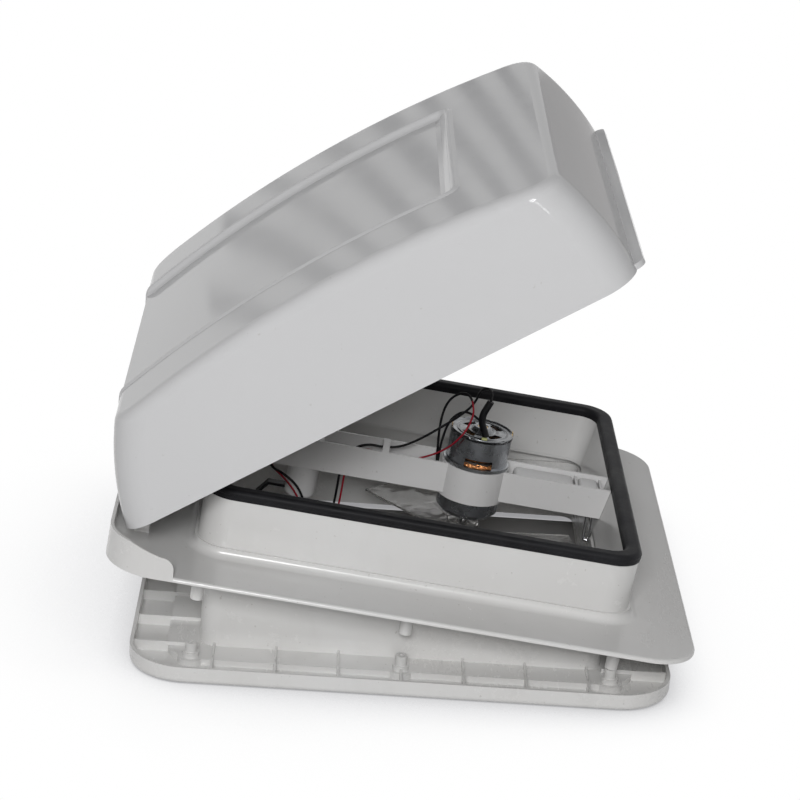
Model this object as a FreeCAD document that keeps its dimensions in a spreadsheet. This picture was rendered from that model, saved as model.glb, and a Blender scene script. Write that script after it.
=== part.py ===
import FreeCAD, Part

# Caravan roof hatch with a twelve volt fan, standing on its interior trim with the hood open.
# The row frame has +Z up, +X from the hinge side to the front, and its origin on the floor
# under the middle of the trim. The roof part leans on the trim, so it has a frame of its own,
# and the hood has one more.

import math
import os

import Sketcher
from FreeCAD import Placement, Rotation, Vector

# Driving sizes in millimetres and degrees: alias, value, meaning.
SIZES = [
    ("wall", 2.8, "moulded wall of hood and base"),
    ("seat_gap", 0.3, "gap between pieces that seat on curved faces"),
    ("trim_side", 460.0, "interior trim, outside, square"),
    ("trim_corner", 48.0, "interior trim, corner radius"),
    ("trim_plate", 3.0, "interior trim, plate thickness"),
    ("trim_lip", 15.0, "interior trim, height of the outer lip"),
    ("shelf_height", 8.6, "interior trim, height of the raised shelf"),
    ("shelf_width", 27.0, "interior trim, shelf beyond the upstand"),
    ("upstand_side", 344.0, "interior trim, upstand outside, square"),
    ("upstand_top", 62.0, "interior trim, height of the upstand"),
    ("upstand_corner", 14.0, "interior trim, upstand corner radius"),
    ("rib_pitch_x", 53.0, "interior trim, rib spacing along the sides"),
    ("rib_pitch_y", 50.0, "interior trim, rib spacing along the ends"),
    ("rib_top", 12.0, "interior trim, height of the ribs"),
    ("rib_thick", 2.0, "interior trim, rib thickness"),
    ("boss_top", 21.5, "interior trim, height of the screw bosses"),
    ("boss_radius", 7.0, "interior trim, screw boss foot"),
    ("screw_pitch", 177.6, "clamping screws, spacing along X"),
    ("screw_row", 192.8, "clamping screws, distance from the middle"),
    ("screw_radius", 2.1, "clearance hole for the clamping screws"),
    ("tilt", 6.47, "lean of the roof part on its trim"),
    ("flange_front", 241.5, "roof flange, reach to the front"),
    ("flange_rear", 258.0, "roof flange, reach to the hinge side"),
    ("flange_half", 241.7, "roof flange, half width"),
    ("flange_corner", 42.0, "roof flange, corner radius"),
    ("flange_thick", 3.5, "roof flange, thickness"),
    ("collar_long", 372.0, "collar, outside length"),
    ("collar_wide", 362.0, "collar, outside width"),
    ("collar_corner", 25.0, "collar, corner radius"),
    ("collar_top", 55.2, "collar, height over the roof"),
    ("cove_top", 11.4, "foot of the collar, height of its crease"),
    ("cove_step", 2.0, "foot of the collar, step outside the wall"),
    ("land", 13.0, "top land of the collar under the gasket"),
    ("draft", 7.0, "how far the inner walls lean in to the throat"),
    ("ledge_top", 14.0, "throat ledge, height"),
    ("ledge_thick", 3.0, "throat ledge, thickness"),
    ("spigot_long", 357.0, "spigot through the roof, outside length"),
    ("spigot_wide", 352.0, "spigot through the roof, outside width"),
    ("spigot_wall", 2.5, "spigot and upstand, wall"),
    ("spigot_depth", 30.0, "spigot, depth below the roof flange"),
    ("post_depth", 32.8, "screw posts, depth below the roof flange"),
    ("post_radius", 5.5, "screw posts, radius"),
    ("gutter_height", 27.0, "raised wall round the hinge side, height"),
    ("gutter_side", 20.0, "raised wall, height where it ends"),
    ("gutter_end", 199.0, "raised wall, where it ends on the sides"),
    ("gasket_height", 8.8, "gasket bulb, height"),
    ("gasket_round", 4.2, "gasket bulb, rounding"),
    ("gasket_proud", 1.0, "gasket bulb, overhang outside the collar"),
    ("hinge_x", 241.9, "hinge axis, distance behind the middle"),
    ("hinge_z", 45.9, "hinge axis, height over the roof"),
    ("hinge_y", 150.0, "hinge leaves, distance from the middle"),
    ("hinge_eye", 6.0, "hinge eye, radius"),
    ("hinge_pin", 2.5, "hinge pin, radius"),
    ("leaf_gap", 9.0, "slot between the two ears of a hinge"),
    ("ear_thick", 5.0, "ear of a hinge"),
    ("hood_open", 38.6, "hood angle over the base as photographed"),
    ("hood_back", 14.0, "hinge axis from the hood's rear edge"),
    ("hood_drop", 12.0, "hinge axis over the hood's lower edge"),
    ("hood_long", 469.0, "hood, length at its lower edge"),
    ("hood_half", 232.5, "hood, half width at its lower edge"),
    ("hood_lean", 10.5, "hood, lean of its side walls"),
    ("hood_crown", 109.3, "hood, height of the arched top"),
    ("hood_nose", 97.0, "hood, height at the front"),
    ("hood_tail", 84.0, "hood, height at the rear"),
    ("hood_corner", 30.0, "hood, upright corner radius"),
    ("hood_edge", 12.0, "hood, radius round the top"),
    ("panel_half", 135.0, "recessed panel, half width"),
    ("panel_end", 352.0, "recessed panel, where its front ramp starts"),
    ("panel_depth", 4.5, "recessed panel, depth"),
    ("lip_reach", 8.0, "grip lip on the hood's front, reach"),
    ("lip_height", 5.0, "grip lip, height"),
    ("lip_corner", 10.0, "grip lip, corner radius"),
    ("lip_half", 207.0, "grip lip, half width"),
    ("bridge_half", 17.0, "motor bridge, half width"),
    ("bridge_low", 28.0, "motor bridge, underside"),
    ("bridge_top", 56.0, "motor bridge, top"),
    ("bridge_wall", 2.2, "motor bridge, wall"),
    ("motor_x", 49.6, "motor axis, distance in front of the middle"),
    ("motor_radius", 27.8, "motor can, radius"),
    ("motor_low", 8.0, "motor can, underside"),
    ("motor_high", 84.0, "motor can, upper edge"),
    ("can_wall", 1.6, "motor can, wall"),
    ("shaft_radius", 2.5, "motor shaft, radius"),
    ("fan_radius", 112.0, "fan, tip radius"),
    ("fan_level", -10.0, "fan, middle of the blades"),
    ("hub_radius", 15.0, "fan hub, radius"),
    ("crank_x", 101.4, "crank axis, distance behind the middle"),
    ("spindle_radius", 4.0, "crank spindle and arm shaft, radius"),
    ("housing_radius", 14.0, "crank housing, radius"),
    ("knob_radius", 25.0, "crank knob, radius"),
    ("knob_low", -83.4, "crank knob, underside"),
    ("knob_high", -62.0, "crank knob, upper side"),
    ("track_slope", 10.0, "slope of the lift track in the hood"),
    ("arm_plane", 30.0, "lift arm, distance from the middle plane"),
    ("arm_thick", 3.5, "lift arm, thickness"),
    ("roller_radius", 3.9, "lift arm roller, radius"),
    ("running", 0.05, "radial clearance of turning fits"),
]

FAN_BLADES = 3
KNOB_GRIPS = 6

document = FreeCAD.newDocument("RoofHatch")
sheet = document.addObject("Spreadsheet::Sheet", "Sizes")
for row, (alias, value, meaning) in enumerate(SIZES, start=1):
    sheet.set(f"A{row}", meaning)
    sheet.set(f"B{row}", str(value))
    sheet.setAlias(f"B{row}", alias)
document.recompute()


class Size:
    """A length that carries its number and the sheet expression it comes from."""

    def __init__(self, value, text):
        self.value = value
        self.text = text

    def __add__(self, other):
        other = as_size(other)
        return Size(self.value + other.value, f"({self.text} + {other.text})")

    def __radd__(self, other):
        return as_size(other) + self

    def __sub__(self, other):
        other = as_size(other)
        return Size(self.value - other.value, f"({self.text} - {other.text})")

    def __rsub__(self, other):
        return as_size(other) - self

    def __mul__(self, other):
        other = as_size(other)
        return Size(self.value * other.value, f"({self.text} * {other.text})")

    __rmul__ = __mul__

    def __truediv__(self, other):
        other = as_size(other)
        return Size(self.value / other.value, f"({self.text} / {other.text})")

    def __neg__(self):
        return Size(-self.value, f"(0 - {self.text})")


def as_size(number):
    if isinstance(number, Size):
        return number
    return Size(float(number), f"({float(number)})")


def size(alias):
    return Size(float(sheet.get(alias)), f"Sizes.{alias}")


def tangent(angle):
    return Size(math.tan(math.radians(angle.value)), f"tan({angle.text} * 1deg)")


def root(square):
    return Size(math.sqrt(square.value), f"sqrt({square.text})")


def bind(owner, path, length):
    """Set a property from a size and keep it bound to the sheet."""
    owner.setExpression(path, as_size(length).text)


def number(alias):
    return size(alias).value


# Frames

tilt = math.radians(number("tilt"))
contact_gap = 0.75
base_x = number("screw_pitch") * (1 - math.cos(tilt)) + number("post_depth") * math.sin(tilt)
base_z = (number("boss_top") + contact_gap + number("screw_pitch") * math.sin(tilt)
          + number("post_depth") * math.cos(tilt))
TRIM = Placement()
BASE = Placement(Vector(base_x, 0, base_z), Rotation(Vector(0, 1, 0), number("tilt")))
hinge_point = Vector(-number("hinge_x"), 0, number("hinge_z"))
hood_turn = Placement(hinge_point, Rotation(Vector(0, 1, 0), -number("hood_open")))
HOOD = BASE * hood_turn * Placement(Vector(-number("hood_back"), 0, -number("hood_drop")),
                                    Rotation())
# The arm is as long as its pivot is far from the hinge, so it turns twice as far as the hood.
arm_length = size("hinge_x") - size("crank_x")
arm_angle = 2 * (number("hood_open") + number("track_slope"))
arm_pivot = Vector(-number("crank_x"), 0, number("hinge_z"))
ARM = BASE * Placement(arm_pivot, Rotation(Vector(0, 1, 0), -arm_angle))
MOTOR = BASE * Placement(Vector(number("motor_x"), 0, 0), Rotation())
CRANK = BASE * Placement(Vector(-number("crank_x"), 0, 0), Rotation())

parts = []


def keep(piece, label, frame):
    """Name a finished sub-part and put it in its frame."""
    piece.Label = label
    piece.Placement = frame
    parts.append(piece)
    return piece


def new_body(name):
    return document.addObject("PartDesign::Body", name + "_body")


def origin_feature(body, role):
    for feature in body.Origin.OriginFeatures:
        if feature.Role == role:
            return feature
    raise ValueError(role)


def new_sketch(body, plane, offset=0.0):
    """A sketch on XY at height offset, on XZ at that Y, or on YZ at that X."""
    sketch = body.newObject("Sketcher::SketchObject", "profile")
    sketch.AttachmentSupport = (origin_feature(body, plane + "_Plane"), [""])
    sketch.MapMode = "FlatFace"
    offset = as_size(offset)
    if plane == "XZ":
        offset = -offset
    bind(sketch, "AttachmentOffset.Base.z", offset)
    return sketch


def place_point(sketch, index, position, x, y):
    """Hold one point of a sketch at sizes x and y from its origin."""
    for kind, length in (("DistanceX", as_size(x)), ("DistanceY", as_size(y))):
        if length.value < 0:
            length = -length
            ends = (index, position, -1, 1)
        else:
            ends = (-1, 1, index, position)
        row = sketch.addConstraint(Sketcher.Constraint(kind, *ends, length.value))
        sketch.setExpression(f"Constraints[{row}]", length.text)


def outline(sketch, points):
    """A closed outline. A point is (x, y), or (x, y, mx, my) where an arc through mx, my ends."""
    corners = [tuple(as_size(value) for value in point) for point in points]
    count = len(corners)
    first = len(sketch.Geometry)
    ends = []
    arcs = []
    for i in range(count):
        start = corners[i]
        stop = corners[(i + 1) % count]
        a = Vector(start[0].value, start[1].value, 0)
        b = Vector(stop[0].value, stop[1].value, 0)
        if len(stop) == 4:
            middle = Vector(stop[2].value, stop[3].value, 0)
            left_turn = (middle - a).cross(b - a).z > 0
            arc = Part.Arc(a, middle, b) if left_turn else Part.Arc(b, middle, a)
            index = sketch.addGeometry(arc, False)
            ends.append((1, 2) if left_turn else (2, 1))
            arcs.append((index, start, stop))
        else:
            sketch.addGeometry(Part.LineSegment(a, b), False)
            ends.append((1, 2))
    for i in range(count):
        after = (i + 1) % count
        sketch.addConstraint(Sketcher.Constraint("Coincident", first + i, ends[i][1],
                                                 first + after, ends[after][0]))
    for i in range(count):
        place_point(sketch, first + i, ends[i][0], corners[i][0], corners[i][1])
    for index, start, stop in arcs:
        radius = arc_radius(start, stop[2:], stop[:2])
        row = sketch.addConstraint(Sketcher.Constraint("Radius", index, radius.value))
        sketch.setExpression(f"Constraints[{row}]", radius.text)


def arc_radius(start, middle, stop):
    """Radius of the circle through three points."""
    sides = [distance(start, middle), distance(middle, stop), distance(stop, start)]
    twice_area = ((middle[0] - start[0]) * (stop[1] - start[1])
                  - (stop[0] - start[0]) * (middle[1] - start[1]))
    if twice_area.value < 0:
        twice_area = -twice_area
    return sides[0] * sides[1] * sides[2] / (2 * twice_area)


def distance(a, b):
    x = a[0] - b[0]
    y = a[1] - b[1]
    return root(x * x + y * y)


def rounded_rect(sketch, x0, x1, half, radius, y_middle=0.0):
    """A rectangle from x0 to x1 and half a width each side, with round corners."""
    bend = radius * (1 - math.sqrt(0.5))
    low = y_middle - half
    high = y_middle + half
    outline(sketch, [
        (x0 + radius, low, x0 + bend, low + bend),
        (x1 - radius, low),
        (x1, low + radius, x1 - bend, low + bend),
        (x1, high - radius),
        (x1 - radius, high, x1 - bend, high - bend),
        (x0 + radius, high),
        (x0, high - radius, x0 + bend, high - bend),
        (x0, low + radius),
    ])


def rectangle(sketch, x0, x1, y0, y1):
    outline(sketch, [(x0, y0), (x1, y0), (x1, y1), (x0, y1)])


def circle(sketch, x, y, radius):
    radius = as_size(radius)
    x = as_size(x)
    y = as_size(y)
    index = sketch.addGeometry(Part.Circle(Vector(x.value, y.value, 0), Vector(0, 0, 1),
                                           radius.value), False)
    place_point(sketch, index, 3, x, y)
    row = sketch.addConstraint(Sketcher.Constraint("Radius", index, radius.value))
    sketch.setExpression(f"Constraints[{row}]", radius.text)


def extrude(body, kind, sketch, length, back=False, both_ways=False):
    feature = body.newObject("PartDesign::" + kind, kind.lower())
    feature.Profile = sketch
    feature.Type = "Length"
    bind(feature, "Length", length)
    feature.Reversed = back
    if both_ways:
        feature.SideType = "Symmetric"
    return feature


def pad(body, sketch, length, back=False, both_ways=False):
    return extrude(body, "Pad", sketch, length, back, both_ways)


def pocket(body, sketch, length, back=False, both_ways=False):
    return extrude(body, "Pocket", sketch, length, back, both_ways)


def turn(body, sketch, cut=False):
    """Revolve a sketch on XZ about the body's Z axis."""
    kind = "Groove" if cut else "Revolution"
    feature = body.newObject("PartDesign::" + kind, kind.lower())
    feature.Profile = sketch
    feature.ReferenceAxis = (origin_feature(body, "Z_Axis"), [""])
    feature.Angle = 360
    return feature


def loft(body, kind, sketches, ruled=True):
    feature = body.newObject("PartDesign::" + kind + "Loft", "loft")
    feature.Profile = sketches[0]
    feature.Sections = sketches[1:]
    feature.Ruled = ruled
    return feature


def row_of(body, features, axis, count, pitch):
    """Repeat features along an axis of the body."""
    pattern = body.newObject("PartDesign::LinearPattern", "row")
    pattern.Originals = features
    pattern.Direction = (origin_feature(body, axis + "_Axis"), [""])
    pattern.Mode = "Spacing"
    pattern.Occurrences = count
    bind(pattern, "Offset", pitch)
    body.Tip = pattern
    return pattern


def ring_of(body, features, count):
    """Repeat features round the body's Z axis."""
    pattern = body.newObject("PartDesign::PolarPattern", "ring")
    pattern.Originals = features
    pattern.Axis = (origin_feature(body, "Z_Axis"), [""])
    pattern.Mode = "Extent"
    pattern.Angle = 360
    pattern.Occurrences = count
    body.Tip = pattern
    return pattern


def mirror(body, features, plane):
    copy = body.newObject("PartDesign::Mirrored", "mirrored")
    copy.Originals = features
    copy.MirrorPlane = (origin_feature(body, plane + "_Plane"), [""])
    body.Tip = copy
    return copy


def blend(body, radius, choose, kind="Fillet"):
    """Round or chamfer the edges of the body that choose accepts."""
    document.recompute()
    base = body.Tip
    names = [f"Edge{i}" for i, edge in enumerate(base.Shape.Edges, start=1) if choose(edge)]
    feature = body.newObject("PartDesign::" + kind, kind.lower())
    feature.Base = (base, names)
    bind(feature, "Radius" if kind == "Fillet" else "Size", radius)
    return feature


def near(a, b, slack=0.05):
    return abs(a - b) < slack


def edge_box(edge):
    box = edge.BoundBox
    return box.XMin, box.XMax, box.YMin, box.YMax, box.ZMin, box.ZMax


def level_edge(edge, height):
    """True where an edge lies flat at a height."""
    box = edge.BoundBox
    return near(box.ZMin, height) and near(box.ZMax, height)


# Interior trim

def interior_trim():
    body = new_body("trim")
    half = size("trim_side") / 2
    plate = size("trim_plate")
    opening = size("upstand_side") / 2 - size("spigot_wall")
    shelf = size("upstand_side") / 2 + size("shelf_width")
    corner = size("trim_corner")
    inner_corner = size("upstand_corner") - size("spigot_wall")

    sketch = new_sketch(body, "XY")
    rounded_rect(sketch, -half, half, half, corner)
    rounded_rect(sketch, -opening, opening, opening, inner_corner)
    pad(body, sketch, plate)

    sketch = new_sketch(body, "XY")
    rounded_rect(sketch, -half, half, half, corner)
    rounded_rect(sketch, -(half - plate), half - plate, half - plate, corner - plate)
    pad(body, sketch, size("trim_lip"))

    sketch = new_sketch(body, "XY")
    rounded_rect(sketch, -shelf, shelf, shelf, corner - size("shelf_width") + 10)
    rounded_rect(sketch, -opening, opening, opening, inner_corner)
    pad(body, sketch, size("shelf_height"))

    # The room side steps up behind the shelf, so the moulding keeps one thickness.
    under = size("shelf_height") - size("wall")
    recess = shelf - plate
    sketch = new_sketch(body, "XY")
    rounded_rect(sketch, -recess, recess, recess, corner - size("shelf_width") + 10 - plate)
    pocket(body, sketch, under, back=True)

    sketch = new_sketch(body, "XY", under)
    upstand = size("upstand_side") / 2
    rounded_rect(sketch, -upstand, upstand, upstand, size("upstand_corner"))
    rounded_rect(sketch, -opening, opening, opening, inner_corner)
    pad(body, sketch, size("upstand_top") - under)

    rib = size("rib_thick") / 2
    lip_inside = half - plate + rib
    start = -3 * size("rib_pitch_x")
    sketch = new_sketch(body, "XY")
    rectangle(sketch, start - rib, start + rib, -lip_inside, -(shelf - rib))
    rectangle(sketch, start - rib, start + rib, shelf - rib, lip_inside)
    ribs = pad(body, sketch, size("rib_top"))
    row_of(body, [ribs], "X", 7, size("rib_pitch_x"))
    start = -3.5 * size("rib_pitch_y")
    sketch = new_sketch(body, "XY")
    rectangle(sketch, -lip_inside, -(shelf - rib), start - rib, start + rib)
    rectangle(sketch, shelf - rib, lip_inside, start - rib, start + rib)
    ribs = pad(body, sketch, size("rib_top"))
    row_of(body, [ribs], "Y", 8, size("rib_pitch_y"))

    features = []
    steps = [(size("boss_radius") + 4, size("shelf_height")),
             (size("boss_radius"), size("boss_top") * 0.6),
             (size("boss_radius") * 0.7, size("boss_top"))]
    for radius, height in steps:
        sketch = new_sketch(body, "XY")
        circle(sketch, -size("screw_pitch"), -size("screw_row"), radius)
        circle(sketch, -size("screw_pitch"), size("screw_row"), radius)
        features.append(pad(body, sketch, height))
    row_of(body, features, "X", 3, size("screw_pitch"))
    sketch = new_sketch(body, "XY", size("boss_top"))
    circle(sketch, -size("screw_pitch"), -size("screw_row"), size("screw_radius"))
    circle(sketch, -size("screw_pitch"), size("screw_row"), size("screw_radius"))
    holes = pocket(body, sketch, size("boss_top"))
    row_of(body, [holes], "X", 3, size("screw_pitch"))

    reach = half.value

    def outer_foot(edge):
        x0, x1, y0, y1, _, _ = edge_box(edge)
        outside = max(abs(x0), abs(x1), abs(y0), abs(y1)) > reach - 0.1
        return level_edge(edge, 0.0) and outside

    blend(body, size("trim_plate") * 1.6, outer_foot)
    keep(body, "interior_trim", TRIM)


# Roof part

def flange_points(inset):
    """Half sizes of the roof flange's outline, moved inwards."""
    return (-(size("flange_rear") - inset), size("flange_front") - inset,
            size("flange_half") - inset, size("flange_corner") - inset)


def roof_base():
    body = new_body("base")
    thick = size("flange_thick")
    sketch = new_sketch(body, "XY")
    rounded_rect(sketch, *flange_points(0))
    pad(body, sketch, thick)

    # Raised wall round the hinge side, which ends in a round shoulder on the long sides.
    rear, _, half, corner = flange_points(0)
    inner_rear, _, inner_half, inner_corner = flange_points(size("wall"))
    bend = corner * (1 - math.sqrt(0.5))
    inner_bend = inner_corner * (1 - math.sqrt(0.5))
    end = -size("gutter_end")
    sketch = new_sketch(body, "XY")
    outline(sketch, [
        (end, -half), (end, -inner_half), (inner_rear + inner_corner, -inner_half),
        (inner_rear, -inner_half + inner_corner,
         inner_rear + inner_bend, -inner_half + inner_bend),
        (inner_rear, inner_half - inner_corner),
        (inner_rear + inner_corner, inner_half,
         inner_rear + inner_bend, inner_half - inner_bend),
        (end, inner_half), (end, half), (rear + corner, half),
        (rear, half - corner, rear + bend, half - bend),
        (rear, -half + corner),
        (rear + corner, -half, rear + bend, -half + bend),
    ])
    pad(body, sketch, size("gutter_height"))
    sketch = new_sketch(body, "XZ")
    top = size("gutter_height")
    side = size("gutter_side")
    outline(sketch, [
        (rear - 5, top), (rear + 20, top), (end - 13, side),
        (end - 1, side - 11, end - 4.3, side - 3.2),
        (end - 0.5, thick), (end + 2, thick),
        (end + 2, top + 5), (rear - 5, top + 5),
    ])
    pocket(body, sketch, size("flange_half") * 2 + 10, both_ways=True)

    # Collar with its coved foot.
    long_half = size("collar_long") / 2
    wide_half = size("collar_wide") / 2
    corner = size("collar_corner")
    step = size("cove_step")
    sketch = new_sketch(body, "XY")
    rounded_rect(sketch, -(long_half + step), long_half + step, wide_half + step, corner + step)
    pad(body, sketch, size("cove_top"))
    foot_reach = (long_half + step).value
    foot_half = (wide_half + step).value

    def foot_edge(edge):
        x0, x1, y0, y1, _, _ = edge_box(edge)
        inside = max(abs(x0), abs(x1)) < foot_reach + 0.1 and max(abs(y0), abs(y1)) < foot_half + 0.1
        return level_edge(edge, number("flange_thick")) and inside

    blend(body, size("cove_top") - thick - 0.4, foot_edge)
    sketch = new_sketch(body, "XY")
    rounded_rect(sketch, -long_half, long_half, wide_half, corner)
    pad(body, sketch, size("collar_top"))

    # Spigot and screw posts under the roof flange.
    spigot_long = size("spigot_long") / 2
    spigot_wide = size("spigot_wide") / 2
    spigot_corner = size("upstand_corner") + size("spigot_wall")
    sketch = new_sketch(body, "XY", 0)
    rounded_rect(sketch, -spigot_long, spigot_long, spigot_wide, spigot_corner)
    pad(body, sketch, size("spigot_depth"), back=True)
    sketch = new_sketch(body, "XY", 0)
    circle(sketch, -size("screw_pitch"), -size("screw_row"), size("post_radius"))
    circle(sketch, -size("screw_pitch"), size("screw_row"), size("post_radius"))
    posts = pad(body, sketch, size("post_depth"), back=True)
    row_of(body, [posts], "X", 3, size("screw_pitch"))
    sketch = new_sketch(body, "XY", -size("post_depth"))
    hole = size("screw_radius") - 0.5
    circle(sketch, -size("screw_pitch"), -size("screw_row"), hole)
    circle(sketch, -size("screw_pitch"), size("screw_row"), hole)
    holes = pocket(body, sketch, size("post_depth") - 5, back=True)
    row_of(body, [holes], "X", 3, size("screw_pitch"))

    # The inner walls lean in from the gasket land to the throat ledge.
    mouth_long = long_half - size("land")
    mouth_wide = wide_half - size("land")
    throat_long = mouth_long - size("draft")
    throat_wide = mouth_wide - size("draft")
    upper = new_sketch(body, "XY", size("collar_top"))
    rounded_rect(upper, -mouth_long, mouth_long, mouth_wide, corner - 9)
    lower = new_sketch(body, "XY", size("ledge_top"))
    rounded_rect(lower, -throat_long, throat_long, throat_wide, corner - 11)
    loft(body, "Subtractive", [upper, lower])
    sketch = new_sketch(body, "XY", size("ledge_top"))
    rounded_rect(sketch, -throat_long, throat_long, throat_wide, corner - 11)
    pocket(body, sketch, size("ledge_top") + size("spigot_depth"))
    sketch = new_sketch(body, "XY", -size("spigot_depth"))
    inner_long = spigot_long - size("spigot_wall")
    inner_wide = spigot_wide - size("spigot_wall")
    rounded_rect(sketch, -inner_long, inner_long, inner_wide, size("upstand_corner"))
    pocket(body, sketch, size("spigot_depth") + size("ledge_top") - size("ledge_thick"), back=True)

    # Hollow between the outer wall and the inner one, open below.
    sketch = new_sketch(body, "XY", 0)
    outer_long = long_half - size("wall")
    outer_wide = wide_half - size("wall")
    rounded_rect(sketch, -outer_long, outer_long, outer_wide, corner - size("wall"))
    rounded_rect(sketch, -spigot_long, spigot_long, spigot_wide, spigot_corner)
    pocket(body, sketch, size("collar_top") - size("wall"), back=True)

    # Hinge ears stand in front of the hood's rear wall and reach back to the axis.
    hinge_x = -size("hinge_x")
    hinge_z = size("hinge_z")
    eye = size("hinge_eye")
    ear_features = []
    for side in (-1, 1):
        middle = size("hinge_y") + side * (size("leaf_gap") + size("ear_thick")) / 2
        sketch = new_sketch(body, "XZ", middle)
        outline(sketch, [
            (hinge_x + 3.4, thick - 1), (hinge_x + 16, thick - 1),
            (hinge_x + 12, hinge_z - 8), (hinge_x + eye * 0.8, hinge_z + eye * 0.6),
            (hinge_x, hinge_z), (hinge_x + 3.4, hinge_z - 8.5),
        ])
        ear_features.append(pad(body, sketch, size("ear_thick"), both_ways=True))
        sketch = new_sketch(body, "XZ", middle)
        circle(sketch, hinge_x, hinge_z, eye)
        ear_features.append(pad(body, sketch, size("ear_thick"), both_ways=True))
    mirror(body, ear_features, "XZ")
    sketch = new_sketch(body, "XZ")
    circle(sketch, hinge_x, hinge_z, size("hinge_pin") + size("running"))
    pocket(body, sketch, size("hinge_y") * 2 + 60, both_ways=True)

    # Pilot holes for the screws of the motor bridge, along X into both end walls.
    sketch = new_sketch(body, "YZ")
    for side in (-1, 1):
        circle(sketch, side * size("bridge_half") / 2, bridge_screw_height(), bridge_screw_radius())
    pocket(body, sketch, long_half * 2 - size("wall") * 2, both_ways=True)

    rim = number("flange_half")
    front = number("flange_front")
    gutter = number("gutter_end")

    def outer_rim(edge):
        x0, x1, y0, y1, _, _ = edge_box(edge)
        outside = max(abs(y0), abs(y1)) > rim - 0.1 or x1 > front - 0.1
        return level_edge(edge, number("flange_thick")) and outside and x1 > -gutter + 10

    blend(body, size("flange_thick") * 0.8, outer_rim)
    keep(body, "roof_base", BASE)


def bridge_screw_height():
    return (size("bridge_low") + size("bridge_top")) / 2 - 2


def bridge_screw_radius():
    return 2.0


def collar_gasket():
    body = new_body("gasket")
    long_half = size("collar_long") / 2 + size("gasket_proud")
    wide_half = size("collar_wide") / 2 + size("gasket_proud")
    width = size("land") + size("gasket_proud")
    corner = size("collar_corner") + size("gasket_proud")
    sketch = new_sketch(body, "XY", size("collar_top"))
    rounded_rect(sketch, -long_half, long_half, wide_half, corner)
    rounded_rect(sketch, -(long_half - width), long_half - width, wide_half - width,
                 corner - width + 4)
    pad(body, sketch, size("gasket_height"))
    top = number("collar_top") + number("gasket_height")
    blend(body, size("gasket_round"), lambda edge: level_edge(edge, top))
    keep(body, "collar_gasket", BASE)


def motor_bridge():
    body = new_body("bridge")
    half = size("bridge_half")
    low = size("bridge_low")
    top = size("bridge_top")
    wall = size("bridge_wall")
    mouth = size("collar_long") / 2 - size("land")
    reach = mouth - size("seat_gap")
    sketch = new_sketch(body, "YZ")
    outline(sketch, [
        (-half, low), (half, low), (half, top), (half - wall, top),
        (half - wall, low + wall), (-(half - wall), low + wall),
        (-(half - wall), top), (-half, top),
    ])
    pad(body, sketch, reach * 2, both_ways=True)

    # Cross walls: the two ends and the dividers.
    lean = size("draft") / (size("collar_top") - size("ledge_top"))
    foot = reach - lean * (size("collar_top") - low)
    for x in (-(foot - wall - 0.5), foot - wall - 0.5, 143):
        sketch = new_sketch(body, "YZ", x)
        rectangle(sketch, -(half - wall / 2), half - wall / 2, low, top - 3)
        pad(body, sketch, wall, both_ways=True)

    # Round holder for the motor.
    x = size("motor_x")
    sketch = new_sketch(body, "XY", low - 3)
    circle(sketch, x, 0, size("motor_radius") + wall + 0.5)
    pad(body, sketch, top - low + 3)
    sketch = new_sketch(body, "XY", low - 3)
    circle(sketch, x, 0, size("motor_radius") + size("seat_gap"))
    pocket(body, sketch, top - low + 10, back=True)

    # The ends follow the leaning walls of the collar.
    sketch = new_sketch(body, "XZ")
    level = size("collar_top")
    for side in (-1, 1):
        outline(sketch, [(side * foot, low), (side * reach, level),
                         (side * (reach + 4), level), (side * (reach + 4), low - 2),
                         (side * (foot - lean * 2), low - 2)])
    pocket(body, sketch, half * 2 + 4, both_ways=True)

    # Hole for the crank housing in the floor, one for the arm shaft in the far wall, and slots.
    sketch = new_sketch(body, "XY", low + wall + 1)
    circle(sketch, -size("crank_x"), 0, size("housing_radius") + size("seat_gap"))
    pocket(body, sketch, wall * 2)
    sketch = new_sketch(body, "XZ", half - wall - 1)
    circle(sketch, -size("crank_x"), size("hinge_z"), size("spindle_radius") + size("running"))
    pocket(body, sketch, wall + 3)
    sketch = new_sketch(body, "XY", low + wall + 1)
    rounded_rect(sketch, -73, -60, 3, 2.5, -11)
    rounded_rect(sketch, -144, -130, 3, 2.5, -11)
    rounded_rect(sketch, 88, 104, 3, 2.5, 6)
    rounded_rect(sketch, 112, 128, 3, 2.5, 6)
    pocket(body, sketch, wall * 2)
    sketch = new_sketch(body, "YZ")
    for side in (-1, 1):
        circle(sketch, side * half / 2, bridge_screw_height(), bridge_screw_radius() + 0.2)
    pocket(body, sketch, reach * 2 + 4, both_ways=True)
    keep(body, "motor_bridge", BASE)


def bridge_screws():
    """Two pan head screws through each end wall of the bridge into the collar."""
    body = new_body("screws")
    half = size("bridge_half")
    wall = size("bridge_wall")
    mouth = size("collar_long") / 2 - size("land")
    lean = size("draft") / (size("collar_top") - size("ledge_top"))
    foot = mouth - size("seat_gap") - lean * (size("collar_top") - size("bridge_low"))
    seat = foot - wall * 1.5 - 0.5
    features = []
    steps = [(bridge_screw_radius() - size("running"), 14, False), (3.6, 2.2, True)]
    for side in (-1, 1):
        for radius, length, back in steps:
            sketch = new_sketch(body, "YZ", seat)
            circle(sketch, side * half / 2, bridge_screw_height(), radius)
            features.append(pad(body, sketch, length, back=back))
    mirror(body, features, "YZ")
    keep(body, "bridge_screws", BASE)


# Motor

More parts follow.
